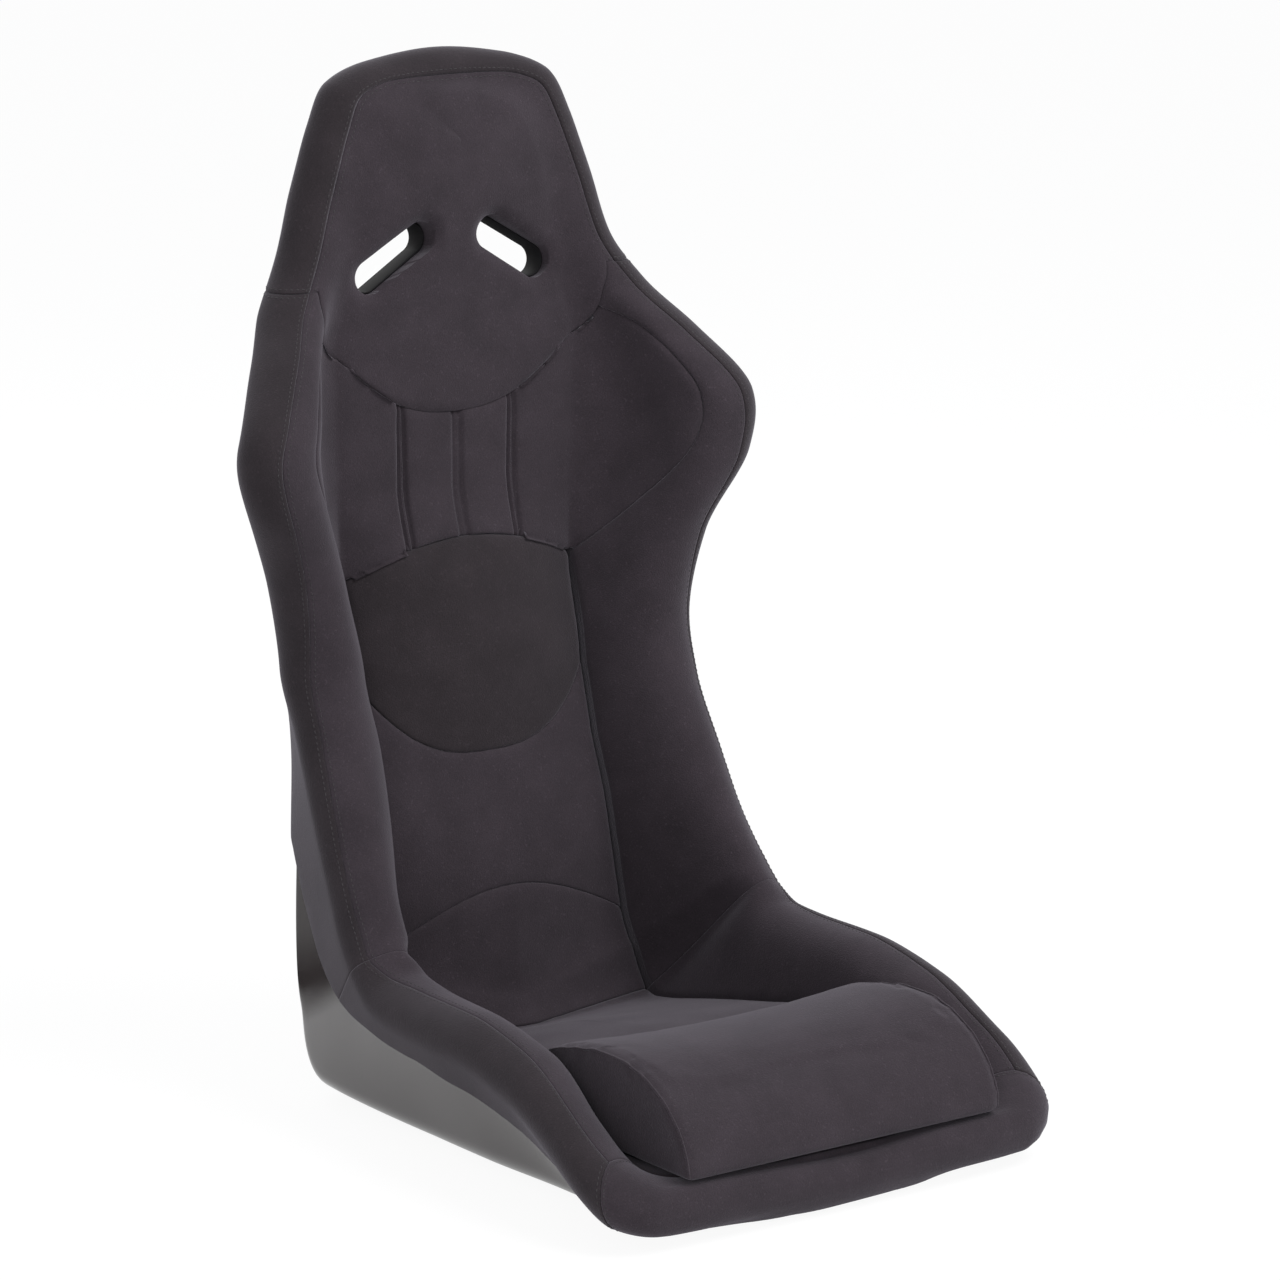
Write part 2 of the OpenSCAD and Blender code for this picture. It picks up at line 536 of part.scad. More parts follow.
// A pad across the centre, from station lo(s) to hi(s) in n rows. dips says how much of
// seam_dip its lower edge, upper edge and sides are drawn in.
function column_grid(lo, hi, n, dips = [1, 1, 1]) =
    [for (i = [0:n]) [for (j = [0:10]) let (
        t = i / n, u = j / 10,
        s = mix(-1, 1, u) * (1 - s_gap),
        a = lo(s) + v_gap(lo(s)), b = hi(s) - v_gap(hi(s)))
        [mix(a, b, t), s,
         seam_dip * max(draw(t, dips[0], dips[1]), dips[2] * draw(u))]]];

module tail_pad() {
    color(fabric) pad(column_grid(function (s) v_squab, function (s) tail_arc(s),
        4, [0, 1, 1]), both = true);
}
module lower_back_pad() {
    color(fabric) pad(column_grid(function (s) tail_arc(s), function (s) lumbar_foot(s),
        5, [0.6, 1, 1]), both = true);
}
module lumbar_pad() {
    color(fabric_dark) pad(column_grid(function (s) lumbar_foot(s),
        function (s) lumbar_top(s), 7, [-0.8, 1, 1]), both = true);
}
channel_s = channel_pitch / column;
module channel_pad() {
    n = 5;
    // columns close up at the middle channel
    us = [-1, -0.85, -0.5, -0.15, 0, 0.15, 0.5, 0.85, 1];
    color(fabric) pad([for (i = [0:n]) [for (u = us) let (
        s = u * (channel_s - s_gap), t = i / n,
        a = lumbar_top(s) + v_gap(15.5), b = bib(s) - v_gap(17),
        side = (1 - ramp((1 - abs(u)) / 0.25))^2, groove = (1 - ramp(abs(u) / 0.25))^2)
        [mix(a, b, t), s, max(channel_dip * max(side, groove),
            seam_dip * draw(t, 0.3, 0.5))]]], both = true);
}
module shoulder_wing() {
    n = len(WING) - 1;
    m = 6;
    // u runs from the outer channel to the wing's outline, t up the wing
    color(fabric) pad([for (i = [0:n]) [for (j = [0:m]) let (
        t = i / n, u = j / m,
        s = mix(channel_s + s_gap, WING[i][1] - 2 * s_gap, u),
        low = (s <= 1 ? lumbar_top(s) : 15) + v_gap(15),
        high = bib(s) - 2.5 * v_gap(17),
        v_in = mix(lumbar_top(channel_s), bib(channel_s), t),
        v = max(low, min(high, mix(v_in, WING[i][0], u^0.8))))
        [v, s, max(channel_dip * (1 - ramp(u / 0.15))^2,
            seam_dip * max(0.6 * draw(t), 0.6 * (1 - ramp((1 - u) / 0.15))^2))]]]);
}
module shoulder_wing_right() shoulder_wing();
module shoulder_wing_left() mirror([1, 0, 0]) shoulder_wing();

HEAD_ROWS = concat([v_join], rows(20, LAST));
HEAD_COLS = [0, channel_s, 1, 1.25, 1.5, 1.75, 1.86, rim_s, 2];
module head_pad() {
    m = len(HEAD_COLS) - 1;
    color(fabric) difference() {
        pad([for (v = HEAD_ROWS) [for (j = [-m:m]) let (
            t = (v - v_join) / (LAST - v_join),
            s = sign(j) * HEAD_COLS[abs(j)] * (1 - 4 * s_gap),
            a = bib(s) + v_gap(17))
            [mix(a, LAST, t), s, seam_dip * max(0.5 * draw(t, 1, 0),
                abs(j) == m ? 0.3 : 0)]]], false, true, true);
        slot_hole(liner_t + liner_fit);
    }
}

/* Seat pads */
// Station of the cushion's straight rear edge, across sections that sweep forward
function cushion_line(s) = v_cushion + 0.45 * abs(s);
module squab_pad() {
    color(fabric) difference() {
        pad(column_grid(function (s) cushion_line(s), function (s) v_squab, 7,
            [0, 0.6, 0.8]), both = true);
        plate_pocket(bolt_y / 2);
    }
}
// The level top of the pad under the cushion
function level_top(v, s) = let (f = section(v), x = f[ROW][10] * s)
    flip(f[SPINE] + abs(x) * f[SIDE] + [0, 0, base_pad_t], s);
module front_base_pad() {
    color(fabric) difference() {
        grid = [for (t = [0, 0.1, 0.2, 0.4, 0.7, 1])
            [for (s = spread(-1, 1, 8))
                [t * (cushion_line(s) - 2 * v_gap(v_cushion)), s * (1 - 5 * s_gap)]]];
        between([for (row = grid) [for (g = row) level_top(g[0], g[1])]],
            [for (row = grid) [for (g = row) lining(g[0], g[1])]], true, false, true);
        plate_pocket(-bolt_y / 2);
    }
}

/* Bolsters, on the inside of the rim up to the ridge seam */
// Columns of a bolster whose inner edge is at s
function bolster_cols(s) = concat([for (u = [0, 0.15, 0.38, 0.68, 1]) mix(s, rim_s, u)],
    [2 - s_gap]);
function torso_inner(v) = v <= 15 ? 1 : v <= 18.4 ? lookup_smooth(WING, v)
    : lookup_smooth([[18.4, 1.34], [18.65, 1.5], [19.05, 1.75], [v_join, 1.86]], v);
// Rows shared by the bolster and the wrap on either side of the ridge seam
TORSO_ROWS = concat(rows(v_squab + v_gap(v_squab), 18),
    [18.4, 18.65, 19.05, v_join - 6 * v_gap(v_join)]);
THIGH_ROWS = rows(v_lip + v_gap(v_lip), v_squab - v_gap(v_squab));
module torso_bolster() {
    grid = TORSO_ROWS;
    a = grid[0];
    color(fabric) pad([for (v = grid) let (inner = torso_inner(v) + (v > 17.5 ? 6 : 2) * s_gap)
        [for (s = bolster_cols(inner))
            [v, s, seam_dip * max(s == inner ? 0.5 : 0, s > rim_s ? 0.3 : 0,
                0.5 * (1 - ramp((v - a) / 0.4))^2)]]]);
}
module torso_bolster_right() torso_bolster();
module torso_bolster_left() mirror([1, 0, 0]) torso_bolster();
module thigh_bolster() {
    b = THIGH_ROWS[len(THIGH_ROWS) - 1];
    color(fabric) pad([for (v = THIGH_ROWS) [for (s = bolster_cols(1 + s_gap))
        [v, s, seam_dip * max(s > rim_s ? 0.3 : 0, 0.5 * (1 - ramp((b - v) / 0.4))^2)]]]);
}
module thigh_bolster_right() thigh_bolster();
module thigh_bolster_left() mirror([1, 0, 0]) thigh_bolster();
// The seam between the lip pad and the thigh wrap slopes forward under the lip
function lip_end(s) = mix(v_lip, v_lip_hem, ramp(s - 2));
module lip_pad() {
    half = [0, 0.5, 1, 1.5, 2, 2.4, 2.8, v_lip];
    ends = concat([for (k = [7:-1:1]) -half[k]], half);
    ss = [1 + s_gap, 1.4, rim_s, 2, 2.12, 2.26, wrap_start, 2.7, 3];
    color(fabric) pad([for (e = ends) [for (s = ss) let (
        v = abs(e) <= 2 ? abs(e)
            : mix(2, lip_end(s) - 10 * v_gap(v_lip), (abs(e) - 2) / (v_lip - 2)))
        [v, e < 0 ? -s : s, 0]]]);
}

/* Wraps, from the ridge seam over the rim to the hem on the outside of the shell */
wrap_cols = [2, 2.12, 2.26, wrap_start, 2.5, 2.6, 2.7, 2.8, 3];
short_cols = [2, 2.12, 2.26, wrap_start, 2.7, 3];
function wrap_s(s) = max(s, 2 + s_gap);
module torso_wrap() {
    color(fabric_dark) pad([for (v = TORSO_ROWS) [for (s = wrap_cols)
        [v, wrap_s(s), s < 2.05 ? seam_dip * 0.3 : 0]]]);
}
module torso_wrap_right() torso_wrap();
module torso_wrap_left() mirror([1, 0, 0]) torso_wrap();
module thigh_wrap() {
    a = THIGH_ROWS[0];
    b = THIGH_ROWS[len(THIGH_ROWS) - 1];
    color(fabric_dark) pad([for (v = THIGH_ROWS) [for (s = short_cols)
        [mix(a + lip_end(s) - v_lip, b, (v - a) / (b - a)), wrap_s(s),
         s < 2.05 ? seam_dip * 0.3 : 0]]]);
}
module thigh_wrap_right() thigh_wrap();
module thigh_wrap_left() mirror([1, 0, 0]) thigh_wrap();
module head_wrap() {
    half = [for (v = HEAD_ROWS) v + (v > v_join ? 0 : v_gap(v_join))];
    n = len(half) - 1;
    over = concat([for (v = half) [v, 1]], [for (k = [n - 1:-1:0]) [half[k], -1]]);
    color(fabric_dark) pad([for (e = over) [for (s = [2, 2.12, 2.26, wrap_start, 2.7, 3])
        [e[0], e[1] * wrap_s(s), s < 2.05 ? seam_dip * 0.3 : 0]]], over = true);
}

/* Slot liners, clipped in from the back of the shell */
liner_short = 12;   // how far a liner stops behind the head pad's face
module slot_liner(side) {
    inside = back_t - liner_short + 4;
    color(plastic) at_slot(side) difference() {
        union() {
            translate([0, 0, -inside])
                stadium(slot_l + 2 * liner_t, slot_h + 2 * liner_t,
                    inside + wall + pad_gap + liner_t);
            translate([0, 0, wall + pad_gap]) stadium(slot_l + 2 * liner_flange,
                slot_h + 2 * liner_flange, liner_t);
        }
        translate([0, 0, -inside - 1]) stadium(slot_l, slot_h,
            inside + wall + pad_gap + liner_t + 2);
    }
}
module slot_liner_left() slot_liner(-1);
module slot_liner_right() slot_liner(1);

/* Thigh cushion */
rest_gap = 0.3;     // between faces that rest on each other
hook_z = floor_z + base_pad_t + rest_gap;
loop_z = hook_z + strip_t + rest_gap;
cushion_z = loop_z + strip_t + rest_gap;
cushion_rear = STATIONS[v_cushion][0] - 3;
crown_y = cushion_rear - 0.47 * cushion_l;
// Height of the cushion's top at y, for a half width share x, inset all round by d
function cushion_top(x, y, d) = let (
        dish = cushion_dish * (1 - x * x),
        nose = cushion_rear - cushion_l + d - crown_y,
        back = cushion_rear - crown_y)
    y < crown_y
        ? (cushion_h - dish - d) * sqrt(max(0, 1 - ((y - crown_y) / nose)^2))
        : mix(cushion_h - dish, cushion_rear_h - dish * 0.6, ((y - crown_y) / back)^2) - d;
// A cushion-shaped solid, inset by d, with its edges drawn in by up to tuck
module cushion_block(d, tuck, base, n) {
    half = cushion_w / 2 - d;
    turns = [for (k = [0:5]) 90 * k / 5];
    nose = cushion_rear - cushion_l + d;
    ys = concat([for (t = [0, 0.07, 0.3, 0.65]) mix(cushion_rear - d, crown_y, t)],
        [for (a = turns) mix(crown_y, nose, sin(a))]);
    xs = [for (i = [0:n]) -cos(180 * i / n)];
    top = [for (x = xs) [for (k = [0:len(ys) - 1]) let (y = ys[k],
        z = cushion_top(x, y, d),
        edge = (1 - ramp((1 - abs(x)) / 0.08))^2, rear = k == 0 ? 1 : 0)
        [half * x, y, cushion_z + max(base + 1, z - tuck * max(edge, rear))]]];
    bottom = [for (x = xs) [for (y = ys) [half * x, y, cushion_z + base]]];
    between(top, bottom);
}
module cushion_foam() {
    color(foam) cushion_block(cover_t + pad_gap, 1, cover_t + pad_gap, 6);
}
module cushion_cover() {
    color(fabric) difference() {
        cushion_block(0, 3, 0, 10);
        cushion_block(cover_t, 1, cover_t, 6);
        zip_place() cube([zip_l + 1, 2 * zip_w, zip_w + 1], center = true);
    }
}
// The zip closes the foot of the cushion's rear face
zip_l = cushion_w - 60;
zip_h = cushion_z + 22;
zip_pull_t = 1.6;
module zip_place() translate([0, cushion_rear, zip_h]) children();
module cushion_zip() {
    color(plastic) zip_place() translate([0, -cover_t / 2, 0])
        cube([zip_l, 1.2, zip_w], center = true);
}
module cushion_zip_pull() {
    color(steel) zip_place() translate([zip_l / 2 - 12, zip_pull_t / 2 - cover_t / 2 + 0.6 + rest_gap, 0])
        cube([8, zip_pull_t, 18], center = true);
}
strip_x = 80;
strip_l = 120;
strip_y = crown_y - 10;
module strips(z) {
    for (x = [-1, 1]) translate([x * strip_x, strip_y, z])
        cube_strip();
}
module cube_strip() {
    translate([-strip_w / 2, -strip_l / 2, 0]) cube([strip_w, strip_l, strip_t]);
}
module hook_strips() color(plastic) strips(hook_z);
module loop_strips() color(plastic) strips(loop_z);

shell();
front_backing_plate();
rear_backing_plate();
threaded_inserts();
head_pad();
channel_pad();
shoulder_wing_left();
shoulder_wing_right();
lumbar_pad();
lower_back_pad();
tail_pad();
squab_pad();
front_base_pad();
torso_bolster_left();
torso_bolster_right();
thigh_bolster_left();
thigh_bolster_right();
lip_pad();
torso_wrap_left();
torso_wrap_right();
thigh_wrap_left();
thigh_wrap_right();
head_wrap();
slot_liner_left();
slot_liner_right();
hook_strips();
cushion_cover();
cushion_foam();
cushion_zip();
cushion_zip_pull();
loop_strips();
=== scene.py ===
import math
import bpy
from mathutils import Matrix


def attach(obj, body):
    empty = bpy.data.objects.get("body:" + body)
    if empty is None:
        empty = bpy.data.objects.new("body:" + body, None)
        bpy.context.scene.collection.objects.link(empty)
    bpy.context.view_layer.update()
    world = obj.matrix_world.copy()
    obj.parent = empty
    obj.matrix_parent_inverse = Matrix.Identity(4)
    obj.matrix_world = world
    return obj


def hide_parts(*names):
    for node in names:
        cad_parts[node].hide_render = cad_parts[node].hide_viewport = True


bl_info = {
    "name": "Racing Bucket Seat",
    "version": (1, 0, 0),
    "blender": (4, 5, 0),
    "location": "View3D > Sidebar > Seat",
    "description": "Dresses the packed bucket seat in its shell, pads, wraps and cushion",
    "category": "Object",
}

from types import SimpleNamespace

import bmesh
import bpy
import numpy as np
from mathutils import Matrix, Vector
from mathutils.bvhtree import BVHTree

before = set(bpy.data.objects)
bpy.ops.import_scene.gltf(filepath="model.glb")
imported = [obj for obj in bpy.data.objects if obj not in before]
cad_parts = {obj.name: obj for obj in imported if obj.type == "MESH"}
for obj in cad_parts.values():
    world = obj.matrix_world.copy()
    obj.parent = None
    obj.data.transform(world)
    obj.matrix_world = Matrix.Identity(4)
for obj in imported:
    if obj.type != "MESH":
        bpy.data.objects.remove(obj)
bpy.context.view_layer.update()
MM = 0.001

# ---------------------------------------------------------------- sizes, in millimetres
# shell side view
wall = 4
foot_t = 8
lip_reach = 326
lip_h = 24
thigh_h = 121
tail_reach = 230
back_reach = 291
head_reach = 308
waist_h = 404
shoulder_h = 618
neck_h = 722
seat_h = 924
# shell widths at the rim
lip_w = 446
thigh_w = 468
hip_w = 446
waist_w = 414
shoulder_w = 528
neck_w = 376
head_w = 238
floor_w = 402
# depth of the side wings
hip_d = 126
waist_d = 46
shoulder_d = 100
# padding
column_w = 260
base_pad_t = 40
squab_front_t = 86
squab_rear_t = 52
tail_t = 62
back_t = 26
lumbar_t = 22
lumbar_crown = 28
head_t = 50
roll_r = 28
lip_roll_r = 20
head_roll_r = 24
wrap_t = 8
hem_t = 2.5
thigh_wrap = 30
back_wrap = 140
head_wrap_l = 50
seam_dip = 5
channel_dip = 4
channel_pitch = 61
seam_gap = 0.15
pad_gap = 1
# harness slots
slot_l = 88
slot_h = 28
slot_pitch = 130
slot_rise = 35
slot_tilt = 31
slot_gap = 0.3
liner_t = 2
liner_flange = 7
liner_short = 8          # how much less than the back pad's thickness the liners reach in
# thigh cushion
cushion_w = 342
cushion_l = 212
cushion_h = 88
cushion_rear_h = 68
cushion_dish = 10
cover_t = 3
strip_t = 1.2
# base mounting
bolt_x = 270
bolt_y = 280
insert_d = 14
insert_gap = 0.2
flange_t = 2.5
plate_w = 36
plate_t = 3
boss_d = 48
foot_edge = 2

floor_z = foot_t + wall
lip_root = 106
spine_front = lip_root - lip_reach
column = column_w / 2
rest_gap = 0.3
SIDES = ((-1, "left"), (1, "right"))


def mix(a, b, t):
    return a + (b - a) * t


def ramp(t):
    return np.clip(t, 0.0, 1.0)


jaw_w = mix(neck_w, head_w, 0.46)     # where the head starts above the neck

# One row per station from the front lip over the floor, hip, back and neck to the top:
#  spine y, spine z, rim x, rim y, rim z, tilt, floor half width, bend radius,
#  pad thickness, crown, seam distance, seam rise angle, fullness, ridge angle,
#  roll radius, wrap length
STATIONS = [
    # front lip
    [spine_front - 4, floor_z, 0, -lip_reach, lip_h, 0, 100, 18,
     base_pad_t, 0, 90, 30, 0.40, 90, lip_roll_r, thigh_wrap + 4],
    [spine_front, floor_z, lip_w / 2 - 120, -lip_reach, lip_h, 0, 130, 18,
     base_pad_t, 0, 124, 20, 0.40, 90, lip_roll_r, thigh_wrap + 4],
    [spine_front + 4, floor_z, lip_w / 2 - 36, 3 - lip_reach, lip_h, 0, 170, 20,
     base_pad_t, 0, 172, 8, 0.40, 90, lip_roll_r + 1, thigh_wrap + 4],
    [spine_front + 20, floor_z, lip_w / 2, 30 - lip_reach, mix(lip_h, thigh_h, 0.07), 0,
     floor_w / 2 - 18, 24, base_pad_t, 0, 190, 35, 0.40, 90, mix(lip_roll_r, roll_r, 0.8),
     thigh_wrap + 2],
    [spine_front + 55, floor_z, thigh_w / 2, 84 - lip_reach, mix(lip_h, thigh_h, 0.42), 0,
     floor_w / 2 - 8, 32, base_pad_t + 2, 0, 185, 75, 0.45, 90, roll_r - 1, thigh_wrap],
    # thigh wings
    [-115, floor_z, thigh_w / 2, -115 - 0.106 * thigh_w, thigh_h - 17, 0, floor_w / 2 - 4, 34,
     squab_front_t, 0, 180, 85, 0.50, 90, roll_r, thigh_wrap],
    [-40, floor_z, thigh_w / 2, -40 - 0.083 * thigh_w, thigh_h - 1, 2, floor_w / 2, 30,
     squab_front_t - 6, 0, 174, 80, 0.50, 90, roll_r, thigh_wrap],
    [40, floor_z, thigh_w / 2 - 1, -12, thigh_h, 8, floor_w / 2, 28,
     mix(squab_front_t, squab_rear_t, 0.53), 0, 168, 75, 0.50, 88, roll_r, thigh_wrap - 8],
    # hip
    [115, floor_z, mix(thigh_w, hip_w, 0.3) / 2, tail_reach - 182, thigh_h + 7, 25,
     floor_w / 2, 28, squab_rear_t + 6, 0, 160, 70, 0.50, 75, roll_r, thigh_wrap - 6],
    [172, floor_z, mix(thigh_w, hip_w, 0.65) / 2, tail_reach - 150, thigh_h + 25, 42,
     floor_w / 2, 28, squab_rear_t, 0, 152, 70, 0.50, 58, roll_r, thigh_wrap + 12],
    [tail_reach - 17, floor_z + 26, hip_w / 2, tail_reach - 122, thigh_h + 55, 55,
     floor_w / 2, 28, tail_t, 0, 145, 70, 0.50, 48, roll_r, back_wrap - 80],
    [tail_reach - 1, floor_z + 83, hip_w / 2 - 6, tail_reach + 32 - hip_d, thigh_h + 97,
     63, floor_w / 2 - 2, 30, tail_t, 4, 140, 70, 0.50, 44, roll_r, back_wrap - 68],
    # back
    [tail_reach + 8, mix(thigh_h, waist_h, 0.2), mix(hip_w, waist_w, 0.68) / 2,
     tail_reach - 62, mix(thigh_h, waist_h, 0.555), 71, floor_w / 2 - 6, 32,
     tail_t - 8, 4, column + 4, 70, 0.50, 46, roll_r, back_wrap - 50],
    [mix(tail_reach, back_reach, 0.26), mix(thigh_h, waist_h, 0.5), waist_w / 2,
     mix(tail_reach, back_reach, 0.26) - waist_d + 2, mix(thigh_h, waist_h, 0.79), 77,
     floor_w / 2 - 13, 36, mix(tail_t, lumbar_t, 0.7), 8, column, 72, 0.50, 50, roll_r,
     back_wrap - 14],
    [mix(tail_reach, back_reach, 0.5), waist_h - 54, waist_w / 2 + 2,
     mix(tail_reach, back_reach, 0.62) - waist_d, waist_h, 82, floor_w / 2 - 20, 40,
     lumbar_t, lumbar_crown - 6, column - 1, 70, 0.50, 58, roll_r, back_wrap - 5],
    [back_reach - 7, mix(waist_h, shoulder_h, 0.19), mix(waist_w, shoulder_w, 0.3) / 2,
     back_reach + 25 - shoulder_d, mix(waist_h, shoulder_h, 0.365), 87, floor_w / 2 - 20,
     40, lumbar_t, lumbar_crown, column, 50, 0.50, 74, roll_r, back_wrap - 10],
    [back_reach, mix(waist_h, shoulder_h, 0.66), shoulder_w / 2 - 5,
     back_reach + 4 - shoulder_d, mix(waist_h, shoulder_h, 0.74), 90, floor_w / 2 - 8, 40,
     back_t, 3, column, 20, 0.50, 84, roll_r, back_wrap + 16],
    [back_reach, shoulder_h - 3, shoulder_w / 2 - 1, back_reach + 6 - shoulder_d, shoulder_h, 90,
     floor_w / 2 - 8, 40, back_t + 1, 2, column + 2, 16, 0.50, 86, roll_r, back_wrap + 24],
    [back_reach + 1, mix(shoulder_h, neck_h, 0.55), mix(shoulder_w, neck_w, 0.5) / 2,
     mix(back_reach - shoulder_d, back_reach - 18, 0.54), mix(shoulder_h, neck_h, 0.56),
     90, floor_w / 2 - 18, 40, back_t + 2, 3, column + 2, 14, 0.50, 88, roll_r,
     back_wrap + 6],
    # neck and head
    [back_reach + 3, neck_h + 3, neck_w / 2 - 2, back_reach - 12, neck_h, 90, neck_w / 2 - 36,
     25, back_t + 4, 3, neck_w / 2 - 71, 6, 0.45, 90, roll_r - 1, head_wrap_l + 18],
    [mix(back_reach, head_reach, 0.4), mix(neck_h, seat_h, 0.262), jaw_w / 2,
     back_reach + 3, mix(neck_h, seat_h, 0.218), 90, jaw_w / 2 - 24, 18,
     back_t + 10, 4, jaw_w / 2 - 54, -5, 0.40, 90, roll_r - 2, head_wrap_l + 6],
    [mix(back_reach, head_reach, 0.76), mix(neck_h, seat_h, 0.485), head_w / 2 + 20,
     head_reach - 10, mix(neck_h, seat_h, 0.5), 90, head_w / 2, 15, head_t - 2, 6,
     head_w / 2 - 25, -12, 0.40, 90, head_roll_r + 2, head_wrap_l + 6],
    [head_reach, mix(neck_h, seat_h, 0.634), head_w / 2 + 1, head_reach - 8,
     mix(neck_h, seat_h, 0.775), 90, head_w / 2 - 14, 15, head_t + 2, 6, head_w / 2 - 40,
     -16, 0.40, 90, head_roll_r + 1, head_wrap_l + 3],
    [head_reach, mix(neck_h, seat_h, 0.693), head_w / 2 - 21, head_reach - 5,
     mix(neck_h, seat_h, 0.936), 90,
     head_w / 2 - 36, 15, head_t, 6, head_w / 2 - 52, -20, 0.40, 90, head_roll_r,
     head_wrap_l],
    [head_reach, mix(neck_h, seat_h, 0.713), head_w / 2 - 61, head_reach - 3,
     mix(neck_h, seat_h, 0.99), 90,
     head_w / 2 - 64, 15, head_t - 2, 6, 50, -24, 0.40, 90, head_roll_r - 1,
     head_wrap_l - 6],
    [head_reach, mix(neck_h, seat_h, 0.723), 0, head_reach - 2, seat_h, 90, 44, 15,
     head_t - 2, 6, 38, -24, 0.40, 90, head_roll_r - 1, head_wrap_l - 18]
]
LAST = len(STATIONS) - 1

# Stations where the pads meet
v_lip = 3.2
v_lip_hem = 2.4
v_cushion = 5
v_heel = 9
v_squab = 9.25
v_tail = 10.55
v_lumbar_lo = 13.35
v_lumbar_hi = 15.5
v_join = 19.4
channel_s = channel_pitch / column
# Lower edge of the head pad's bib as s, v and outline of the shoulder wings as v, s
BIB = np.array([[0, 16.95], [0.25, 16.99], [channel_s, 17.12], [0.74, 17.47], [1, 17.95],
                [1.25, 18.38], [1.5, 18.78], [1.75, 19.16], [1.86, v_join], [2, v_join]])
WING = np.array([[15, 1], [15.2, 1.16], [15.5, 1.37], [15.8, 1.55], [16.1, 1.67],
                 [16.5, 1.74], [17, 1.76], [17.5, 1.745], [17.9, 1.69], [18.2, 1.55],
                 [18.43, 1.28]])
WING_TOP = 18.43
wrap_start = 2.4
rim_s = 1.93
over_s = 2.12
over_l = 4
bend_gap = 1.2


# ---------------------------------------------------------------- the seat's cross-sections
ROWS = np.array(STATIONS, float)
COLUMNS = ("spine_y", "spine_z", "rim_x", "rim_y", "rim_z", "tilt", "floor", "bend",
           "pad_t", "crown", "seam", "seam_rise", "fullness", "ridge", "roll_r", "wrap_l")


def _tangents():
    """Slopes at the rows that keep the sizes from overshooting between them."""
    step = np.diff(ROWS, axis=0)
    t = np.zeros_like(ROWS)
    a, b = step[:-1], step[1:]
    same = a * b > 0
    t[1:-1][same] = 2 * a[same] * b[same] / (a[same] + b[same])
    x = COLUMNS.index("rim_x")
    t[0, x], t[-1, x] = step[0, x], step[-1, x]
    # the shoulders round out past the two stations that they stand on
    for k in (16, 17):
        t[k, x] = (ROWS[k + 1, x] - ROWS[k - 1, x]) / 2
    return t


TANGENTS = _tangents()


def hermite(a, slope_a, b, slope_b, f):
    """A cubic from a to b at share f, with its slopes at both ends."""
    return (a * (2 * f**3 - 3 * f**2 + 1) + slope_a * (f**3 - 2 * f**2 + f)
            + b * (3 * f**2 - 2 * f**3) + slope_b * (f**3 - f**2))


def station(v):
    """Sizes at stations v, smooth between the rows."""
    i = np.clip(np.floor(v).astype(int), 0, LAST - 1)
    return hermite(ROWS[i], TANGENTS[i], ROWS[i + 1], TANGENTS[i + 1], (v - i)[..., None])


def dot(a, b):
    return (a * b).sum(-1)


def unit(a):
    return a / np.maximum(np.linalg.norm(a, axis=-1, keepdims=True), 1e-9)


def section(v):
    """Axes, sizes and the shell's inner line of the cross-sections at stations v."""
    r = SimpleNamespace(**dict(zip(COLUMNS, np.moveaxis(station(v), -1, 0))))
    g = SimpleNamespace(row=r)
    none = 0 * v
    g.spine = np.stack([none, r.spine_y, r.spine_z], -1)
    width = np.where((v <= 0) | (v >= LAST), 0, r.rim_x)
    reach = np.stack([width, r.rim_y, r.rim_z], -1) - g.spine
    tilt_a = np.radians(r.tilt)
    tilt = np.stack([none, -np.sin(tilt_a), np.cos(tilt_a)], -1)
    ease = ramp(v - v_heel)
    rise = tilt_a * ease * ease * (3 - 2 * ease)
    level = np.stack([none, -np.sin(rise), np.cos(rise)], -1)
    g.side = unit(reach - (dot(reach, level) / dot(tilt, level))[..., None] * tilt)
    g.out = unit(tilt - dot(tilt, g.side)[..., None] * g.side)
    h, w = dot(reach, g.out), dot(reach, g.side)
    g.floor = np.minimum(r.floor, w - 1)
    g.lean = np.arctan2(h, w - g.floor)
    run = np.hypot(h, w - g.floor)
    g.cut = np.minimum(r.bend * np.tan(g.lean / 2), 0.8 * run)
    g.bend = g.cut / np.tan(g.lean / 2)
    g.arc = g.bend * g.lean
    g.flat = g.floor - g.cut
    g.total = g.flat + g.arc + run - g.cut
    back = wall + wrap_t - r.roll_r
    g.roll = np.stack([w + back * np.sin(g.lean), h - back * np.cos(g.lean)], -1)
    return g


def pair(a, b):
    return np.stack(np.broadcast_arrays(a, b), -1)


def wall_at(g, l, off):
    """A point l along the shell's inner line from the centre, off outside it."""
    a = (l - g.flat) / g.bend - math.pi / 2
    k = l - g.flat - g.arc
    base = pair(l, -off + 0 * l)
    arc = pair(g.flat + (g.bend + off) * np.cos(a), g.bend + (g.bend + off) * np.sin(a))
    rise = pair(g.floor + (g.cut + k) * np.cos(g.lean) + off * np.sin(g.lean),
                (g.cut + k) * np.sin(g.lean) - off * np.cos(g.lean))
    return np.where((l < g.flat)[..., None], base,
                    np.where((l < g.flat + g.arc)[..., None], arc, rise))


def sag(g):
    return (g.bend + wall) * (1 / np.cos(g.lean / 6) - 1) + 1.5


def wrap_length(g, s):
    """Where s lies along the shell, down the wrap to its hem."""
    hem = g.total - g.row.wrap_l
    k = (s - wrap_start) * 10
    down = np.where(k <= 1, mix(g.total, g.flat + g.arc, k),
                    np.where(k <= 4, g.flat + g.arc * (4 - k) / 3, mix(g.flat, hem, (k - 4) / 2)))
    return np.maximum(hem + (3 - s) * 4, down)


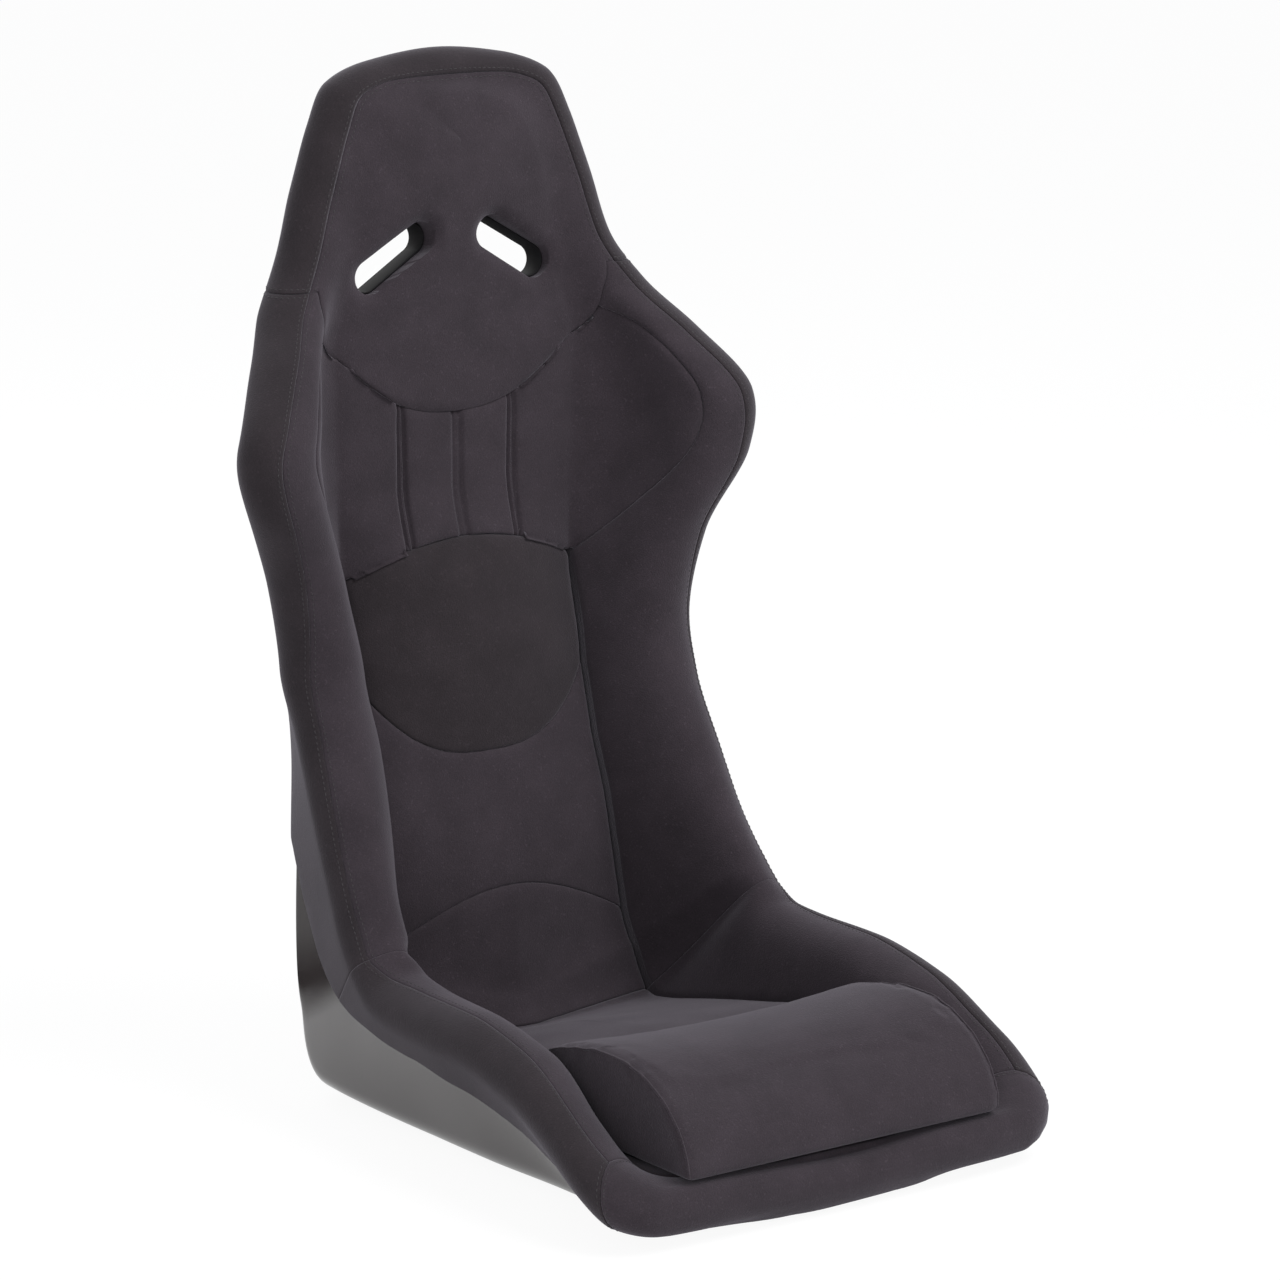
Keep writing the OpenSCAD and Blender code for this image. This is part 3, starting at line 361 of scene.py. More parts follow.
def skin_at(g, s):
    """The padded surface at s: centre pad to 1, bolster to 2, roll and wrap to 3."""
    r = g.row
    seam = pair(r.seam, r.pad_t)
    turn = np.radians(r.ridge)
    centre = pair(r.seam * s, r.pad_t + r.crown * (1 - s * s))
    radius = r.roll_r[..., None]
    ridge = g.roll + radius * pair(np.cos(turn), np.sin(turn))
    reach = (np.linalg.norm(ridge - seam, axis=-1) * r.fullness)[..., None]
    rise = np.radians(r.seam_rise)
    t = np.clip(s - 1, 0, 1)[..., None]
    b = seam + reach * pair(np.cos(rise), np.sin(rise))
    c = ridge - reach * pair(np.sin(turn), -np.cos(turn))
    bolster = (seam * (1 - t)**3 + b * 3 * t * (1 - t)**2 + c * 3 * t**2 * (1 - t)
               + ridge * t**3)
    a = mix(turn, g.lean - math.pi / 2, np.clip((s - 2) / (wrap_start - 2), 0, 1))
    roll = g.roll + radius * pair(np.cos(a), np.sin(a))
    l = wrap_length(g, s)
    k = (g.total - l) / r.wrap_l
    hem = wall + pad_gap + sag(g) + hem_t
    wrap = wall_at(g, l, hem + (wall + wrap_t - hem) * np.clip(1 - k, 0, 1)**1.5)
    return np.select([(s <= 1)[..., None], (s <= 2)[..., None], (s <= wrap_start)[..., None]],
                     [centre, bolster, roll], wrap)


def lining_at(g, s):
    """The side of a pad that lies against the shell."""
    seam = g.row.seam
    edge = g.total + pad_gap
    gap = pad_gap + bend_gap * ramp((s - 1) * 10) * ramp((rim_s - s) * 10)
    l = np.where(s <= 1, seam * s,
                 np.where(s <= rim_s, mix(seam, edge, (s - 1) / (rim_s - 1)), edge))
    inside = wall_at(g, l, -np.where(s <= 1, pad_gap, np.where(s <= rim_s, gap, pad_gap)))
    over = wall_at(g, edge + 0 * s, mix(-pad_gap, wall + pad_gap,
                                        ramp((s - rim_s) / (over_s - rim_s))))
    k = ramp((s - over_s) / (wrap_start - over_s))
    turn = wall_at(g, edge - over_l * k, wall + pad_gap + sag(g) * k)
    wrap = wall_at(g, np.minimum(edge - over_l, wrap_length(g, s)), wall + pad_gap + sag(g))
    return np.select([(s <= rim_s)[..., None], (s <= over_s)[..., None],
                      (s <= wrap_start)[..., None]], [inside, over, turn], wrap)


def place(g, p, s):
    q = g.spine + p[..., :1] * g.side + p[..., 1:] * g.out
    q[..., 0] *= np.where(s < 0, -1, 1)
    return q


def skin(v, s):
    g = section(v)
    return place(g, skin_at(g, np.abs(s)), s)


def lining(v, s):
    g = section(v)
    return place(g, lining_at(g, np.abs(s)), s)


def pace(v):
    a, b = min(v + 0.1, LAST), max(v - 0.1, 0)
    d = section(np.array([a, b])).spine
    return np.linalg.norm(d[0] - d[1]) / (a - b)


def v_gap(v):
    return seam_gap / 2 / max(pace(v), 20)


s_gap = seam_gap / 2 / 100


# ---------------------------------------------------------------- sewn panels
def spaced(length, fine, coarse):
    """Shares of a length, close together within 16 mm of both ends, wider in the middle."""
    marks, x = [0.0], 0.0
    while x < length / 2:
        x += mix(fine, coarse, ramp(x / 16))
        marks.append(x)
    marks = [m * (length / 2) / marks[-1] for m in marks]
    half = [m / length for m in marks]
    return np.array(half + [1 - m for m in reversed(half[:-1])])


def spaced_twice(length, fine, coarse):
    """Shares of a length in two halves, so that they are close in its middle as well."""
    half = spaced(length, fine, coarse)
    return np.concatenate([half / 2, 0.5 + half[1:] / 2])


def along(p, axis):
    """Length along the grid lines of p from its first line."""
    step = np.linalg.norm(np.diff(p, axis=axis), axis=-1)
    pad = [(0, 0), (0, 0)]
    pad[axis] = (1, 0)
    return np.pad(np.cumsum(step, axis=axis), pad)


def edge_distances(p):
    """Distances on a grid from its first and last row, first and last column."""
    a, b = along(p, 0), along(p, 1)
    return [a, a[-1:] - a, b, b[:, -1:] - b]


def grid_normals(p, inside):
    n = unit(np.cross(np.gradient(p, axis=0), np.gradient(p, axis=1)))
    return n if dot(n, p - inside).mean() > 0 else -n


def ripple(p, wave, seed):
    """A soft waviness between -1 and 1, the same on every run."""
    rng = np.random.default_rng(seed)
    total = np.zeros(p.shape[:-1])
    for _ in range(7):
        k = unit(rng.normal(size=3)) * 2 * math.pi / (wave * rng.uniform(0.7, 1.5))
        total += np.sin(p @ k + rng.uniform(0, 6.28))
    return total / 4


def tucked(d, dip, r):
    """How deep a panel is drawn in at distance d from a seam, as on a stuffed edge."""
    q = ramp(1 - d / r)
    return dip * (1 - np.sqrt(1 - q * q))


def sewn_bead(d, dip):
    """A stitched line 3 mm beside a seam, with half a bead left standing at the seam."""
    return dip * np.exp(-((d - 3.4) / 1.7)**2) + tucked(d, 0.7 * dip, 14) * (d > 3.4) \
        + 0.35 * dip * (d <= 3.4)


RIDGE = ("tuck", 0.9, 4)    # the seam along the ridge of the rim


def new_object(name, verts, faces):
    mesh = bpy.data.meshes.new(name)
    mesh.from_pydata([tuple(p) for p in verts], [], faces)
    mesh.update()
    mesh.validate()
    obj = bpy.data.objects.new(name, mesh)
    bpy.context.scene.collection.objects.link(obj)
    mesh.shade_smooth()
    return obj


def face_outward(obj):
    bm = bmesh.new()
    bm.from_mesh(obj.data)
    bmesh.ops.recalc_face_normals(bm, faces=bm.faces)
    bm.to_mesh(obj.data)
    bm.free()
    return obj


def grid_faces(n, m, base, flip):
    i, j = np.meshgrid(np.arange(n - 1), np.arange(m - 1), indexing="ij")
    a = base + i * m + j
    quads = np.stack([a, a + m, a + m + 1, a + 1], -1).reshape(-1, 4)
    return quads[:, ::-1] if flip else quads


def closed_sheet(name, top, bottom, weld=False):
    """A closed solid between two grids of points, in millimetres."""
    n, m = top.shape[:2]
    low = n * m
    quads = [grid_faces(n, m, 0, False), grid_faces(n, m, low, True)]
    rim = np.concatenate([np.arange(m), m - 1 + m * np.arange(1, n),
                          n * m - 2 - np.arange(m - 1), m * np.arange(n - 2, 0, -1)])
    after = np.roll(rim, -1)
    quads.append(np.stack([rim, after, after + low, rim + low], -1))
    verts = np.concatenate([top.reshape(-1, 3), bottom.reshape(-1, 3)]) * MM
    obj = new_object(name, verts, np.concatenate(quads).tolist())
    bm = bmesh.new()
    bm.from_mesh(obj.data)
    if weld:
        bmesh.ops.remove_doubles(bm, verts=bm.verts, dist=0.00002)
        # where a row folds onto itself its wall lies inside the solid, so it goes
        walls = [face for face in bm.faces
                 if sum(len(edge.link_faces) > 2 for edge in face.edges) > 1]
        bmesh.ops.delete(bm, geom=walls, context="FACES")
    if bm.calc_volume(signed=True) < 0:
        bmesh.ops.reverse_faces(bm, faces=bm.faces)
    bm.to_mesh(obj.data)
    bm.free()
    return obj


def panel(name, at, edges, fine, coarse, seed, puff=0.0, folds=(), shape=None, under=None):
    """A sewn panel over the surface at(t, u) -> station, s. Its edges (first and last row,
    first and last column) are (kind, depth, width) or None, with a depth that may be a
    function of the station. puff is how far its middle stands out, folds names rows that
    close on themselves, shape(points) adds depth of its own and under(bottom) makes room
    beneath. Returns the piece and its surface."""
    probe = np.linspace(0, 1, 17)
    c = skin(*at(*np.meshgrid(probe, probe, indexing="ij")))
    rows = along(c, 0)[-1].max()
    cols = along(c, 1)[:, -1].max()
    t = spaced(rows, fine, coarse)
    u = spaced(cols, fine, coarse)
    v, s = at(*np.meshgrid(t, u, indexing="ij"))
    top, bottom = skin(v, s), lining(v, s)
    dist = edge_distances(top)
    depth = np.zeros(v.shape)
    crown = np.ones(v.shape)
    for d, edge in zip(dist, edges):
        if edge is None:
            continue
        kind, dip, width = edge
        dip = dip(v) if callable(dip) else dip
        depth += sewn_bead(d, dip) if kind == "bead" else tucked(d, dip, width)
        crown *= 1 - np.exp(-d / 30)
        # fabric gathers a little between the stitches
        depth += 0.35 * np.exp(-d / 9) * (1 + ripple(top, 17, seed + 3)) \
            * np.clip(dip / 3, 0, 1)
    depth += 0.35 * ripple(top, 70, seed) * crown - puff * crown
    if shape is not None:
        depth += shape(top)
    normal = grid_normals(top, bottom)
    for row in folds:
        beside = normal[-2 if row else 1].copy()
        beside[:, 0] = 0
        normal[row] = unit(beside)
    room = np.linalg.norm(top - bottom, axis=-1)
    surface = top - normal * np.minimum(depth, 0.6 * room)[..., None]
    if under is not None:
        bottom = under(bottom)
    obj = closed_sheet(name, surface, bottom, weld=bool(folds))
    return obj, SimpleNamespace(p=surface, n=normal, dist=dist)


def panel_across(name, v, s, edges, wave, seed):
    """A panel over the centre line, whose rows run from one side of the seat to the other.
    Its edges are (depth, width), in panel's order, and wave is how much it waves."""
    top, bottom = skin(v, s), lining(v, s)
    normal = grid_normals(top, bottom)
    middle = len(top) // 2
    normal[middle - 1:middle + 2, :, 0] = 0
    normal = unit(normal)
    dist = edge_distances(top)
    depth = sum(tucked(d, *edge) for d, edge in zip(dist, edges)) + wave * ripple(top, 70, seed)
    surface = top - normal * depth[..., None]
    obj = closed_sheet(name, surface, bottom)
    return obj, SimpleNamespace(p=surface, n=normal, dist=dist)


# ---------------------------------------------------------------- settings
class SeatSettings(bpy.types.PropertyGroup):
    """Sizes and colours of the dressed seat."""
    seam_depth: bpy.props.FloatProperty(
        name="Seam depth", description="How far the panels are drawn in at their seams",
        default=seam_dip * MM, unit="LENGTH")
    channel_depth: bpy.props.FloatProperty(
        name="Channel depth", description="Depth of the sewn channels in the upper back",
        default=channel_dip * MM, unit="LENGTH")
    puff: bpy.props.FloatProperty(
        name="Puff", description="How far the middle of a panel stands proud",
        default=1.5 * MM, unit="LENGTH")
    cushion_swell: bpy.props.FloatProperty(
        name="Cushion swell", description="Most that the thigh cushion's filling may swell",
        default=7 * MM, unit="LENGTH")
    stitch_pitch: bpy.props.FloatProperty(
        name="Stitch pitch", description="Distance from one stitch to the next",
        default=5.2 * MM, unit="LENGTH")
    mesh_fine: bpy.props.FloatProperty(
        name="Mesh at seams", description="Size of the mesh beside a seam",
        default=1.6 * MM, unit="LENGTH")
    mesh_coarse: bpy.props.FloatProperty(
        name="Mesh between seams", description="Size of the mesh in the middle of a panel",
        default=4.5 * MM, unit="LENGTH")


class SeatColours(bpy.types.PropertyGroup):
    """Colours of the seat's finishes, as sRGB hex."""
    velour: bpy.props.StringProperty(
        # A darker copy of the velour, worn by the lumbar pad and the wraps: on the wraps its
        # darkness is painted shade.
        name="Velour", description="Pile of the charcoal velour", default="#302a2f")
    velour_dark_and_shade: bpy.props.StringProperty(
        name="Dark velour and painted shade", description="Pile of the velour on the lumbar pad and wraps",
        default="#282326")
    thread: bpy.props.StringProperty(
        name="Thread", description="Bonded polyester thread", default="#1f1b1f")
    gelcoat: bpy.props.StringProperty(
        name="Gelcoat", description="Black gelcoat of the shell", default="#3a3535")
    foam: bpy.props.StringProperty(
        name="Foam", description="Cream polyurethane foam", default="#d8c9a0")
    steel: bpy.props.StringProperty(
        name="Steel", description="Zinc plate on steel", default="#a9abae")
    moulding: bpy.props.StringProperty(
        name="Moulding", description="Black moulded plastic", default="#121113")
    floor: bpy.props.StringProperty(
        name="Floor", description="Pale studio floor", default="#f2f2f2")


def settings():
    return bpy.context.scene.seat_settings


def colours():
    return bpy.context.scene.seat_colours


def mesh_size():
    """Size of the mesh beside the seams and between them, in millimetres."""
    return dict(fine=settings().mesh_fine / MM, coarse=settings().mesh_coarse / MM)


def linear(hex_colour):
    """sRGB hex to linear, as the shader wants it."""
    parts = [int(hex_colour[i:i + 2], 16) / 255 for i in (1, 3, 5)]
    return tuple(c / 12.92 if c <= 0.04045 else ((c + 0.055) / 1.055)**2.4
                 for c in parts) + (1.0,)


def shade(hex_colour, k):
    c = linear(hex_colour)
    return tuple(x * k for x in c[:3]) + (1.0,)


# ---------------------------------------------------------------- materials
def add(tree, kind, links=None, **values):
    """Adds a shader node: values set its properties or its sockets, links join sockets."""
    node = tree.nodes.new(kind)
    for key, value in values.items():
        if hasattr(node, key):
            setattr(node, key, value)
        else:
            node.inputs[key.replace("_", " ")].default_value = value
    for socket, source in (links or {}).items():
        tree.links.new(source, node.inputs[socket])
    return node


def new_material(name):
    mat = bpy.data.materials.get(name)
    if mat is not None:
        return mat, None, None
    mat = bpy.data.materials.new(name)
    mat.use_nodes = True
    tree = mat.node_tree
    tree.nodes.clear()
    coord = add(tree, "ShaderNodeTexCoord").outputs["Object"]
    return mat, tree, coord


def finish_material(tree, shader):
    add(tree, "ShaderNodeOutputMaterial", {"Surface": shader.outputs[0]})


def velour(name, hex_colour):
    """Knitted polyester velour: a short brushed pile, so it is matt and dark face on and
    lifts to a soft grey where it turns away. Its knit is 0.9 mm, drawn at 1.5 mm so that
    it shows, under the cloudier shading of pile brushed to and fro over 20 to 60 mm."""
    mat, tree, coord = new_material(name)
    if tree is None:
        return mat
    knit = add(tree, "ShaderNodeTexVoronoi", {"Vector": coord}, Scale=1 / 0.0015)
    pile = add(tree, "ShaderNodeTexNoise", {"Vector": coord}, Scale=1 / 0.0011, Detail=2.0)
    brushed = add(tree, "ShaderNodeTexNoise", {"Vector": coord}, Scale=1 / 0.045, Detail=3.0,
                  Roughness=0.6)
    fleck = add(tree, "ShaderNodeTexNoise", {"Vector": coord}, Scale=1 / 0.0026, Detail=1.0)
    tone = add(tree, "ShaderNodeMapRange", {"Value": brushed.outputs["Fac"]},
               From_Min=0.3, From_Max=0.7, To_Min=0.86, To_Max=1.16)
    grain = add(tree, "ShaderNodeMapRange", {"Value": pile.outputs["Fac"]},
                From_Min=0.25, From_Max=0.75, To_Min=0.78, To_Max=1.22)
    specks = add(tree, "ShaderNodeMapRange", {"Value": fleck.outputs["Fac"]},
                 From_Min=0.62, From_Max=0.8, To_Min=1.0, To_Max=1.5)
    both = add(tree, "ShaderNodeMath", {0: tone.outputs[0], 1: grain.outputs[0]},
               operation="MULTIPLY")
    value = add(tree, "ShaderNodeMath", {0: both.outputs[0], 1: specks.outputs[0]},
                operation="MULTIPLY")
    colour = add(tree, "ShaderNodeVectorMath", {1: value.outputs[0]}, operation="MULTIPLY")
    colour.inputs[0].default_value = linear(hex_colour)[:3]
    height = add(tree, "ShaderNodeMath", {0: knit.outputs["Distance"], 1: pile.outputs["Fac"]},
                 operation="ADD")
    bump = add(tree, "ShaderNodeBump", {"Height": height.outputs[0]}, Strength=0.35,
               Distance=0.0006)
    shader = add(tree, "ShaderNodeBsdfPrincipled",
                 {"Base Color": colour.outputs[0], "Normal": bump.outputs[0]},
                 Roughness=0.95, Specular_IOR_Level=0.2, Sheen_Weight=0.22,
                 Sheen_Roughness=0.45, Sheen_Tint=(0.80, 0.76, 0.86, 1))
    finish_material(tree, shader)
    return mat


def shade_from_relief(mat, tree, relief, lit_and_shaded_tones, strength, depth, roughness):
    """Finishes a material whose relief, depth metres high, also sets its colour between a darker
    and a lighter copy of it: painted shade and painted highlight on that relief.
    """
    tone = add(tree, "ShaderNodeMix", {"Factor": relief}, data_type="RGBA")
    tone.inputs["A"].default_value, tone.inputs["B"].default_value = lit_and_shaded_tones
    bump = add(tree, "ShaderNodeBump", {"Height": relief}, Strength=strength, Distance=depth)
    shader = add(tree, "ShaderNodeBsdfPrincipled",
                 {"Base Color": tone.outputs["Result"], "Normal": bump.outputs[0]},
                 Roughness=roughness)
    finish_material(tree, shader)
    return mat


def thread_material():
    """Bonded polyester thread: smooth filament with a slight twist at 0.5 mm."""
    mat, tree, coord = new_material("Bonded polyester thread")
    if tree is None:
        return mat
    twist = add(tree, "ShaderNodeTexWave", {"Vector": coord}, Scale=1 / 0.0005,
                bands_direction="DIAGONAL", Distortion=1.0)
    # the twist's bands are painted shade and painted highlight on one thread colour
    lit_and_shaded_tones = shade(colours().thread, 0.8), shade(colours().thread, 1.4)
    return shade_from_relief(mat, tree, twist.outputs["Fac"], lit_and_shaded_tones, 0.4, 0.0001, 0.55)


def gelcoat():
    """Polyester gelcoat sprayed in the mould: a hard gloss with a faint orange peel of
    about 6 mm, and the soft ripple of the glass behind it."""
    mat, tree, coord = new_material("Polished black gelcoat")
    if tree is None:
        return mat
    peel = add(tree, "ShaderNodeTexNoise", {"Vector": coord}, Scale=1 / 0.006, Detail=2.0)
    glass = add(tree, "ShaderNodeTexNoise", {"Vector": coord}, Scale=1 / 0.055, Detail=1.0)
    scuff = add(tree, "ShaderNodeTexNoise", {"Vector": coord}, Scale=1 / 0.03, Detail=6.0,
                Roughness=0.7)
    height = add(tree, "ShaderNodeMath", {0: glass.outputs["Fac"], 1: peel.outputs["Fac"]},
                 operation="MULTIPLY")
    bump = add(tree, "ShaderNodeBump", {"Height": height.outputs[0]}, Strength=0.12,
               Distance=0.0005)
    rough = add(tree, "ShaderNodeMapRange", {"Value": scuff.outputs["Fac"]},
                From_Min=0.35, From_Max=0.75, To_Min=0.10, To_Max=0.2)
    shader = add(tree, "ShaderNodeBsdfPrincipled",
                 {"Normal": bump.outputs[0], "Roughness": rough.outputs[0]},
                 Base_Color=linear(colours().gelcoat), IOR=1.55, Coat_Weight=0.25,
                 Coat_Roughness=0.05)
    finish_material(tree, shader)
    return mat


def moulded_plastic():
    """Moulded ABS with a fine spark-eroded grain of 0.8 mm."""
    mat, tree, coord = new_material("Moulded black ABS")
    if tree is None:
        return mat
    grain = add(tree, "ShaderNodeTexNoise", {"Vector": coord}, Scale=1 / 0.0008, Detail=3.0)
    bump = add(tree, "ShaderNodeBump", {"Height": grain.outputs["Fac"]}, Strength=0.3,
               Distance=0.0002)
    rough = add(tree, "ShaderNodeMapRange", {"Value": grain.outputs["Fac"]},
                To_Min=0.6, To_Max=0.8)
    shader = add(tree, "ShaderNodeBsdfPrincipled",
                 {"Normal": bump.outputs[0], "Roughness": rough.outputs[0]},
                 Base_Color=linear(colours().moulding), Specular_IOR_Level=0.15)
    finish_material(tree, shader)
    return mat


def open_cell_foam():
    """Cut polyurethane foam: open cells of about 1 mm, drawn at 2 mm, painted darker in the cells
    and lighter on their walls, as painted shade and painted highlight.
    """
    mat, tree, coord = new_material("Cut polyurethane foam")
    if tree is None:
        return mat
    cells = add(tree, "ShaderNodeTexVoronoi", {"Vector": coord}, Scale=1 / 0.002)
    # painted shade in the cells, painted highlight on their walls
    lit_and_shaded_tones = shade(colours().foam, 0.7), shade(colours().foam, 1.05)
    return shade_from_relief(mat, tree, cells.outputs["Distance"], lit_and_shaded_tones, 0.6, 0.0008, 0.95)


def zinc_plate():
    """Bright zinc plate on cold-rolled steel: metallic, fairly soft gloss, with cloudy
    passivation over 15 mm and fine rolling marks."""
    mat, tree, coord = new_material("Bright zinc plated steel")
    if tree is None:
        return mat
    cloud = add(tree, "ShaderNodeTexNoise", {"Vector": coord}, Scale=1 / 0.015, Detail=4.0)
    marks = add(tree, "ShaderNodeMapping", {"Vector": coord}, Scale=(1 / 0.03, 1 / 0.0008, 1))
    lines = add(tree, "ShaderNodeTexNoise", {"Vector": marks.outputs[0]}, Scale=1.0,
                Detail=2.0)
    rough = add(tree, "ShaderNodeMapRange", {"Value": cloud.outputs["Fac"]},
                From_Min=0.3, From_Max=0.7, To_Min=0.28, To_Max=0.46)
    bump = add(tree, "ShaderNodeBump", {"Height": lines.outputs["Fac"]}, Strength=0.15,
               Distance=0.0001)
    shader = add(tree, "ShaderNodeBsdfPrincipled",
                 {"Roughness": rough.outputs[0], "Normal": bump.outputs[0]},
                 Base_Color=linear(colours().steel), Metallic=1.0)
    finish_material(tree, shader)
    return mat


def hook_and_loop(name, scale_mm):
    """Woven nylon hook-and-loop tape: rows of tufts on a matt ground, painted lighter at the
    tufts and darker between them, as painted highlight and painted shade.
    """
    mat, tree, coord = new_material(name)
    if tree is None:
        return mat
    tufts = add(tree, "ShaderNodeTexVoronoi", {"Vector": coord}, Scale=1 / (scale_mm * MM))
    # painted highlight on the tufts and painted shade between them
    lit_and_shaded_tones = shade(colours().moulding, 2.2), shade(colours().moulding, 0.6)
    return shade_from_relief(mat, tree, tufts.outputs["Distance"], lit_and_shaded_tones, 0.8, 0.0008, 0.8)


def paint(obj, mat):
    obj.data.materials.clear()
    obj.data.materials.append(mat)
    obj.data.polygons.foreach_set("material_index", [0] * len(obj.data.polygons))
    return obj


def seat_velour():
    return velour("Charcoal knitted velour", colours().velour)


# Darker velour: painted shade on the wraps, and the cover of the lumbar pad.
def dark_velour_and_shade():
    return velour("Dark knitted velour and painted shade", colours().velour_dark_and_shade)


def put_on(obj, mat, slot, body, *nodes):
    paint(obj, mat)
    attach(obj, body)
    if nodes:
        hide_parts(*nodes)
    return obj


def put_pad(obj, fill, mat, slot, body, *nodes):
    return put_on(obj, mat, slot, body, *nodes)


# ---------------------------------------------------------------- stitching
STITCHES = []


def sew(surface, edge, offset, skip=0.0):
    """Notes a row of stitches on a panel's surface, offset mm from one of its edges, leaving
    out a share skip at either end."""
    d, p, n = surface.dist[edge], surface.p, surface.n
    if edge < 2:
        d, p, n = d.T, p.transpose(1, 0, 2), n.transpose(1, 0, 2)
    if edge % 2:
        d, p, n = d[:, ::-1], p[:, ::-1], n[:, ::-1]
    k = np.clip((d < offset).sum(1), 1, d.shape[1] - 1)
    r = np.arange(len(d))
    f = ramp((offset - d[r, k - 1]) / np.maximum(d[r, k] - d[r, k - 1], 1e-6))[:, None]
    line, normal = mix(p[r, k - 1], p[r, k], f), mix(n[r, k - 1], n[r, k], f)
    cut = int(skip * len(line))
    STITCHES.append((line[cut:len(line) - cut], normal[cut:len(line) - cut]))


# places along one stitch, its radii and its heights there, its ends sunk into the cloth
STITCH_X = np.array([-1.9, -1.3, 0, 1.3, 1.9])
STITCH_R = np.array([0.12, 0.42, 0.5, 0.42, 0.12])
STITCH_Z = np.array([-0.65, -0.15, 0.05, -0.15, -0.65])


def stitch_mesh(points, normals, pitch):
    """A row of stitches along points, as vertices and faces in millimetres."""
    step = np.linalg.norm(np.diff(points, axis=0), axis=1)
    length = np.concatenate([[0], np.cumsum(step)])
    count = max(int(length[-1] / pitch), 1)
    at = (np.arange(count) + 0.5) * length[-1] / count

    def sample(a, x):
        return np.stack([np.interp(x, length, a[:, c]) for c in range(3)], -1)
    centre, n = sample(points, at), unit(sample(normals, at))
    x = unit(sample(points, at + 1) - sample(points, at - 1))
    y = unit(np.cross(n, x))
    z = np.cross(x, y)
    turn = np.arange(6) * math.pi / 3
    ring = np.stack([np.cos(turn), np.sin(turn)], -1)
    body = centre[:, None, None] + STITCH_X[None, :, None, None] * x[:, None, None] \
        + STITCH_R[None, :, None, None] * ring[None, None, :, :1] * y[:, None, None] \
        + (STITCH_Z[None, :, None, None] + STITCH_R[None, :, None, None]
           * ring[None, None, :, 1:]) * z[:, None, None]
    faces = []
    for c in range(count):
        b = c * 30
        for i in range(4):
            for j in range(6):
                k = (j + 1) % 6
                faces.append((b + i * 6 + j, b + i * 6 + k, b + i * 6 + 6 + k,
                              b + i * 6 + 6 + j))
        faces.append(tuple(b + j for j in range(5, -1, -1)))
        faces.append(tuple(b + 24 + j for j in range(6)))
    return body.reshape(-1, 3), faces


def make_stitches(name, rows, body):
    pitch = settings().stitch_pitch / MM
    verts, faces, base = [], [], 0
    for points, normals in rows:
        v, f = stitch_mesh(points, normals, pitch)
        verts.append(v)
        faces += [tuple(base + i for i in face) for face in f]
        base += len(v)
    obj = face_outward(new_object(name, np.concatenate(verts) * MM, faces))
    return put_on(obj, thread_material(), "plastic", body)


# ---------------------------------------------------------------- helpers for solid pieces
def deselect():
    if bpy.context.object and bpy.context.object.mode != "OBJECT":
        bpy.ops.object.mode_set(mode="OBJECT")
    bpy.ops.object.select_all(action="DESELECT")


def only(obj):
    deselect()
    obj.select_set(True)
    bpy.context.view_layer.objects.active = obj
    return obj


def settle(obj, matrix=None):
    """Puts a piece's place into its mesh and leaves its object at the origin."""
    if matrix is not None:
        obj.matrix_world = matrix @ obj.matrix_world
    bpy.context.view_layer.update()
    only(obj)
    bpy.ops.object.transform_apply(location=True, rotation=True, scale=True)
    return obj


def choose(obj, test, kind="VERT"):
    """Selects the vertices, edges or faces of obj that pass test, in edit mode."""
    bpy.ops.object.mode_set(mode="EDIT")
    bpy.ops.mesh.select_mode(type=kind)
    bpy.ops.mesh.select_all(action="DESELECT")
    bm = bmesh.from_edit_mesh(obj.data)
    for item in {"VERT": bm.verts, "EDGE": bm.edges, "FACE": bm.faces}[kind]:
        item.select_set(bool(test(item)))
    bm.select_flush_mode()
    bmesh.update_edit_mesh(obj.data)


def object_mode():
    bpy.ops.object.mode_set(mode="OBJECT")


def bevel(obj, width, segments):
    only(obj)
    mod = obj.modifiers.new("Edges", "BEVEL")
    mod.width, mod.segments = width, segments
    mod.limit_method, mod.angle_limit = "ANGLE", math.radians(35)
    bpy.ops.object.modifier_apply(modifier=mod.name)
    return obj


def cut_with(obj, cutter, operation="DIFFERENCE"):
    only(obj)
    mod = obj.modifiers.new("Cut", "BOOLEAN")
    mod.object, mod.operation, mod.solver = cutter, operation, "MANIFOLD"
    bpy.ops.object.modifier_apply(modifier=mod.name)
    bpy.data.objects.remove(cutter)
    return obj


def smooth(obj, angle):
    only(obj)
    bpy.ops.object.shade_smooth_by_angle(angle=math.radians(angle))
    return obj


# ---------------------------------------------------------------- harness slots
v_slot = 19.65
head_design_h = 202      # height of the head for which the slots' rise was set
slot_z = neck_h + slot_rise * (seat_h - neck_h) / head_design_h


def slot_place():
    """How far the shell leans back at the slots, and where the middle between them lies."""
    low, high = section(np.array([v_slot - 0.6, v_slot + 0.6])).spine
    lean = math.atan2(high[1] - low[1], high[2] - low[2])
    near = section(np.array([v_slot])).spine[0]
    return lean, near[1] + (slot_z - near[2]) * math.tan(lean)


slot_lean, slot_y = slot_place()


def slot_matrix(side):
    """A harness slot's place, in metres, its Z out of the back of the shell."""
    return (Matrix.Translation(Vector((side * slot_pitch / 2, slot_y, slot_z)) * MM)
            @ Matrix.Rotation(-math.pi / 2 - slot_lean, 4, "X")
            @ Matrix.Rotation(math.radians(side * slot_tilt), 4, "Z"))


def draw_out(obj):
    """Pulls the halves of a round outline apart until it is as long as a slot."""
    for way in (-1, 1):
        choose(obj, lambda v, way=way: v.co.x * way > 0)
        bpy.ops.transform.translate(value=(way * (slot_l - slot_h) / 2 * MM, 0, 0))
        object_mode()


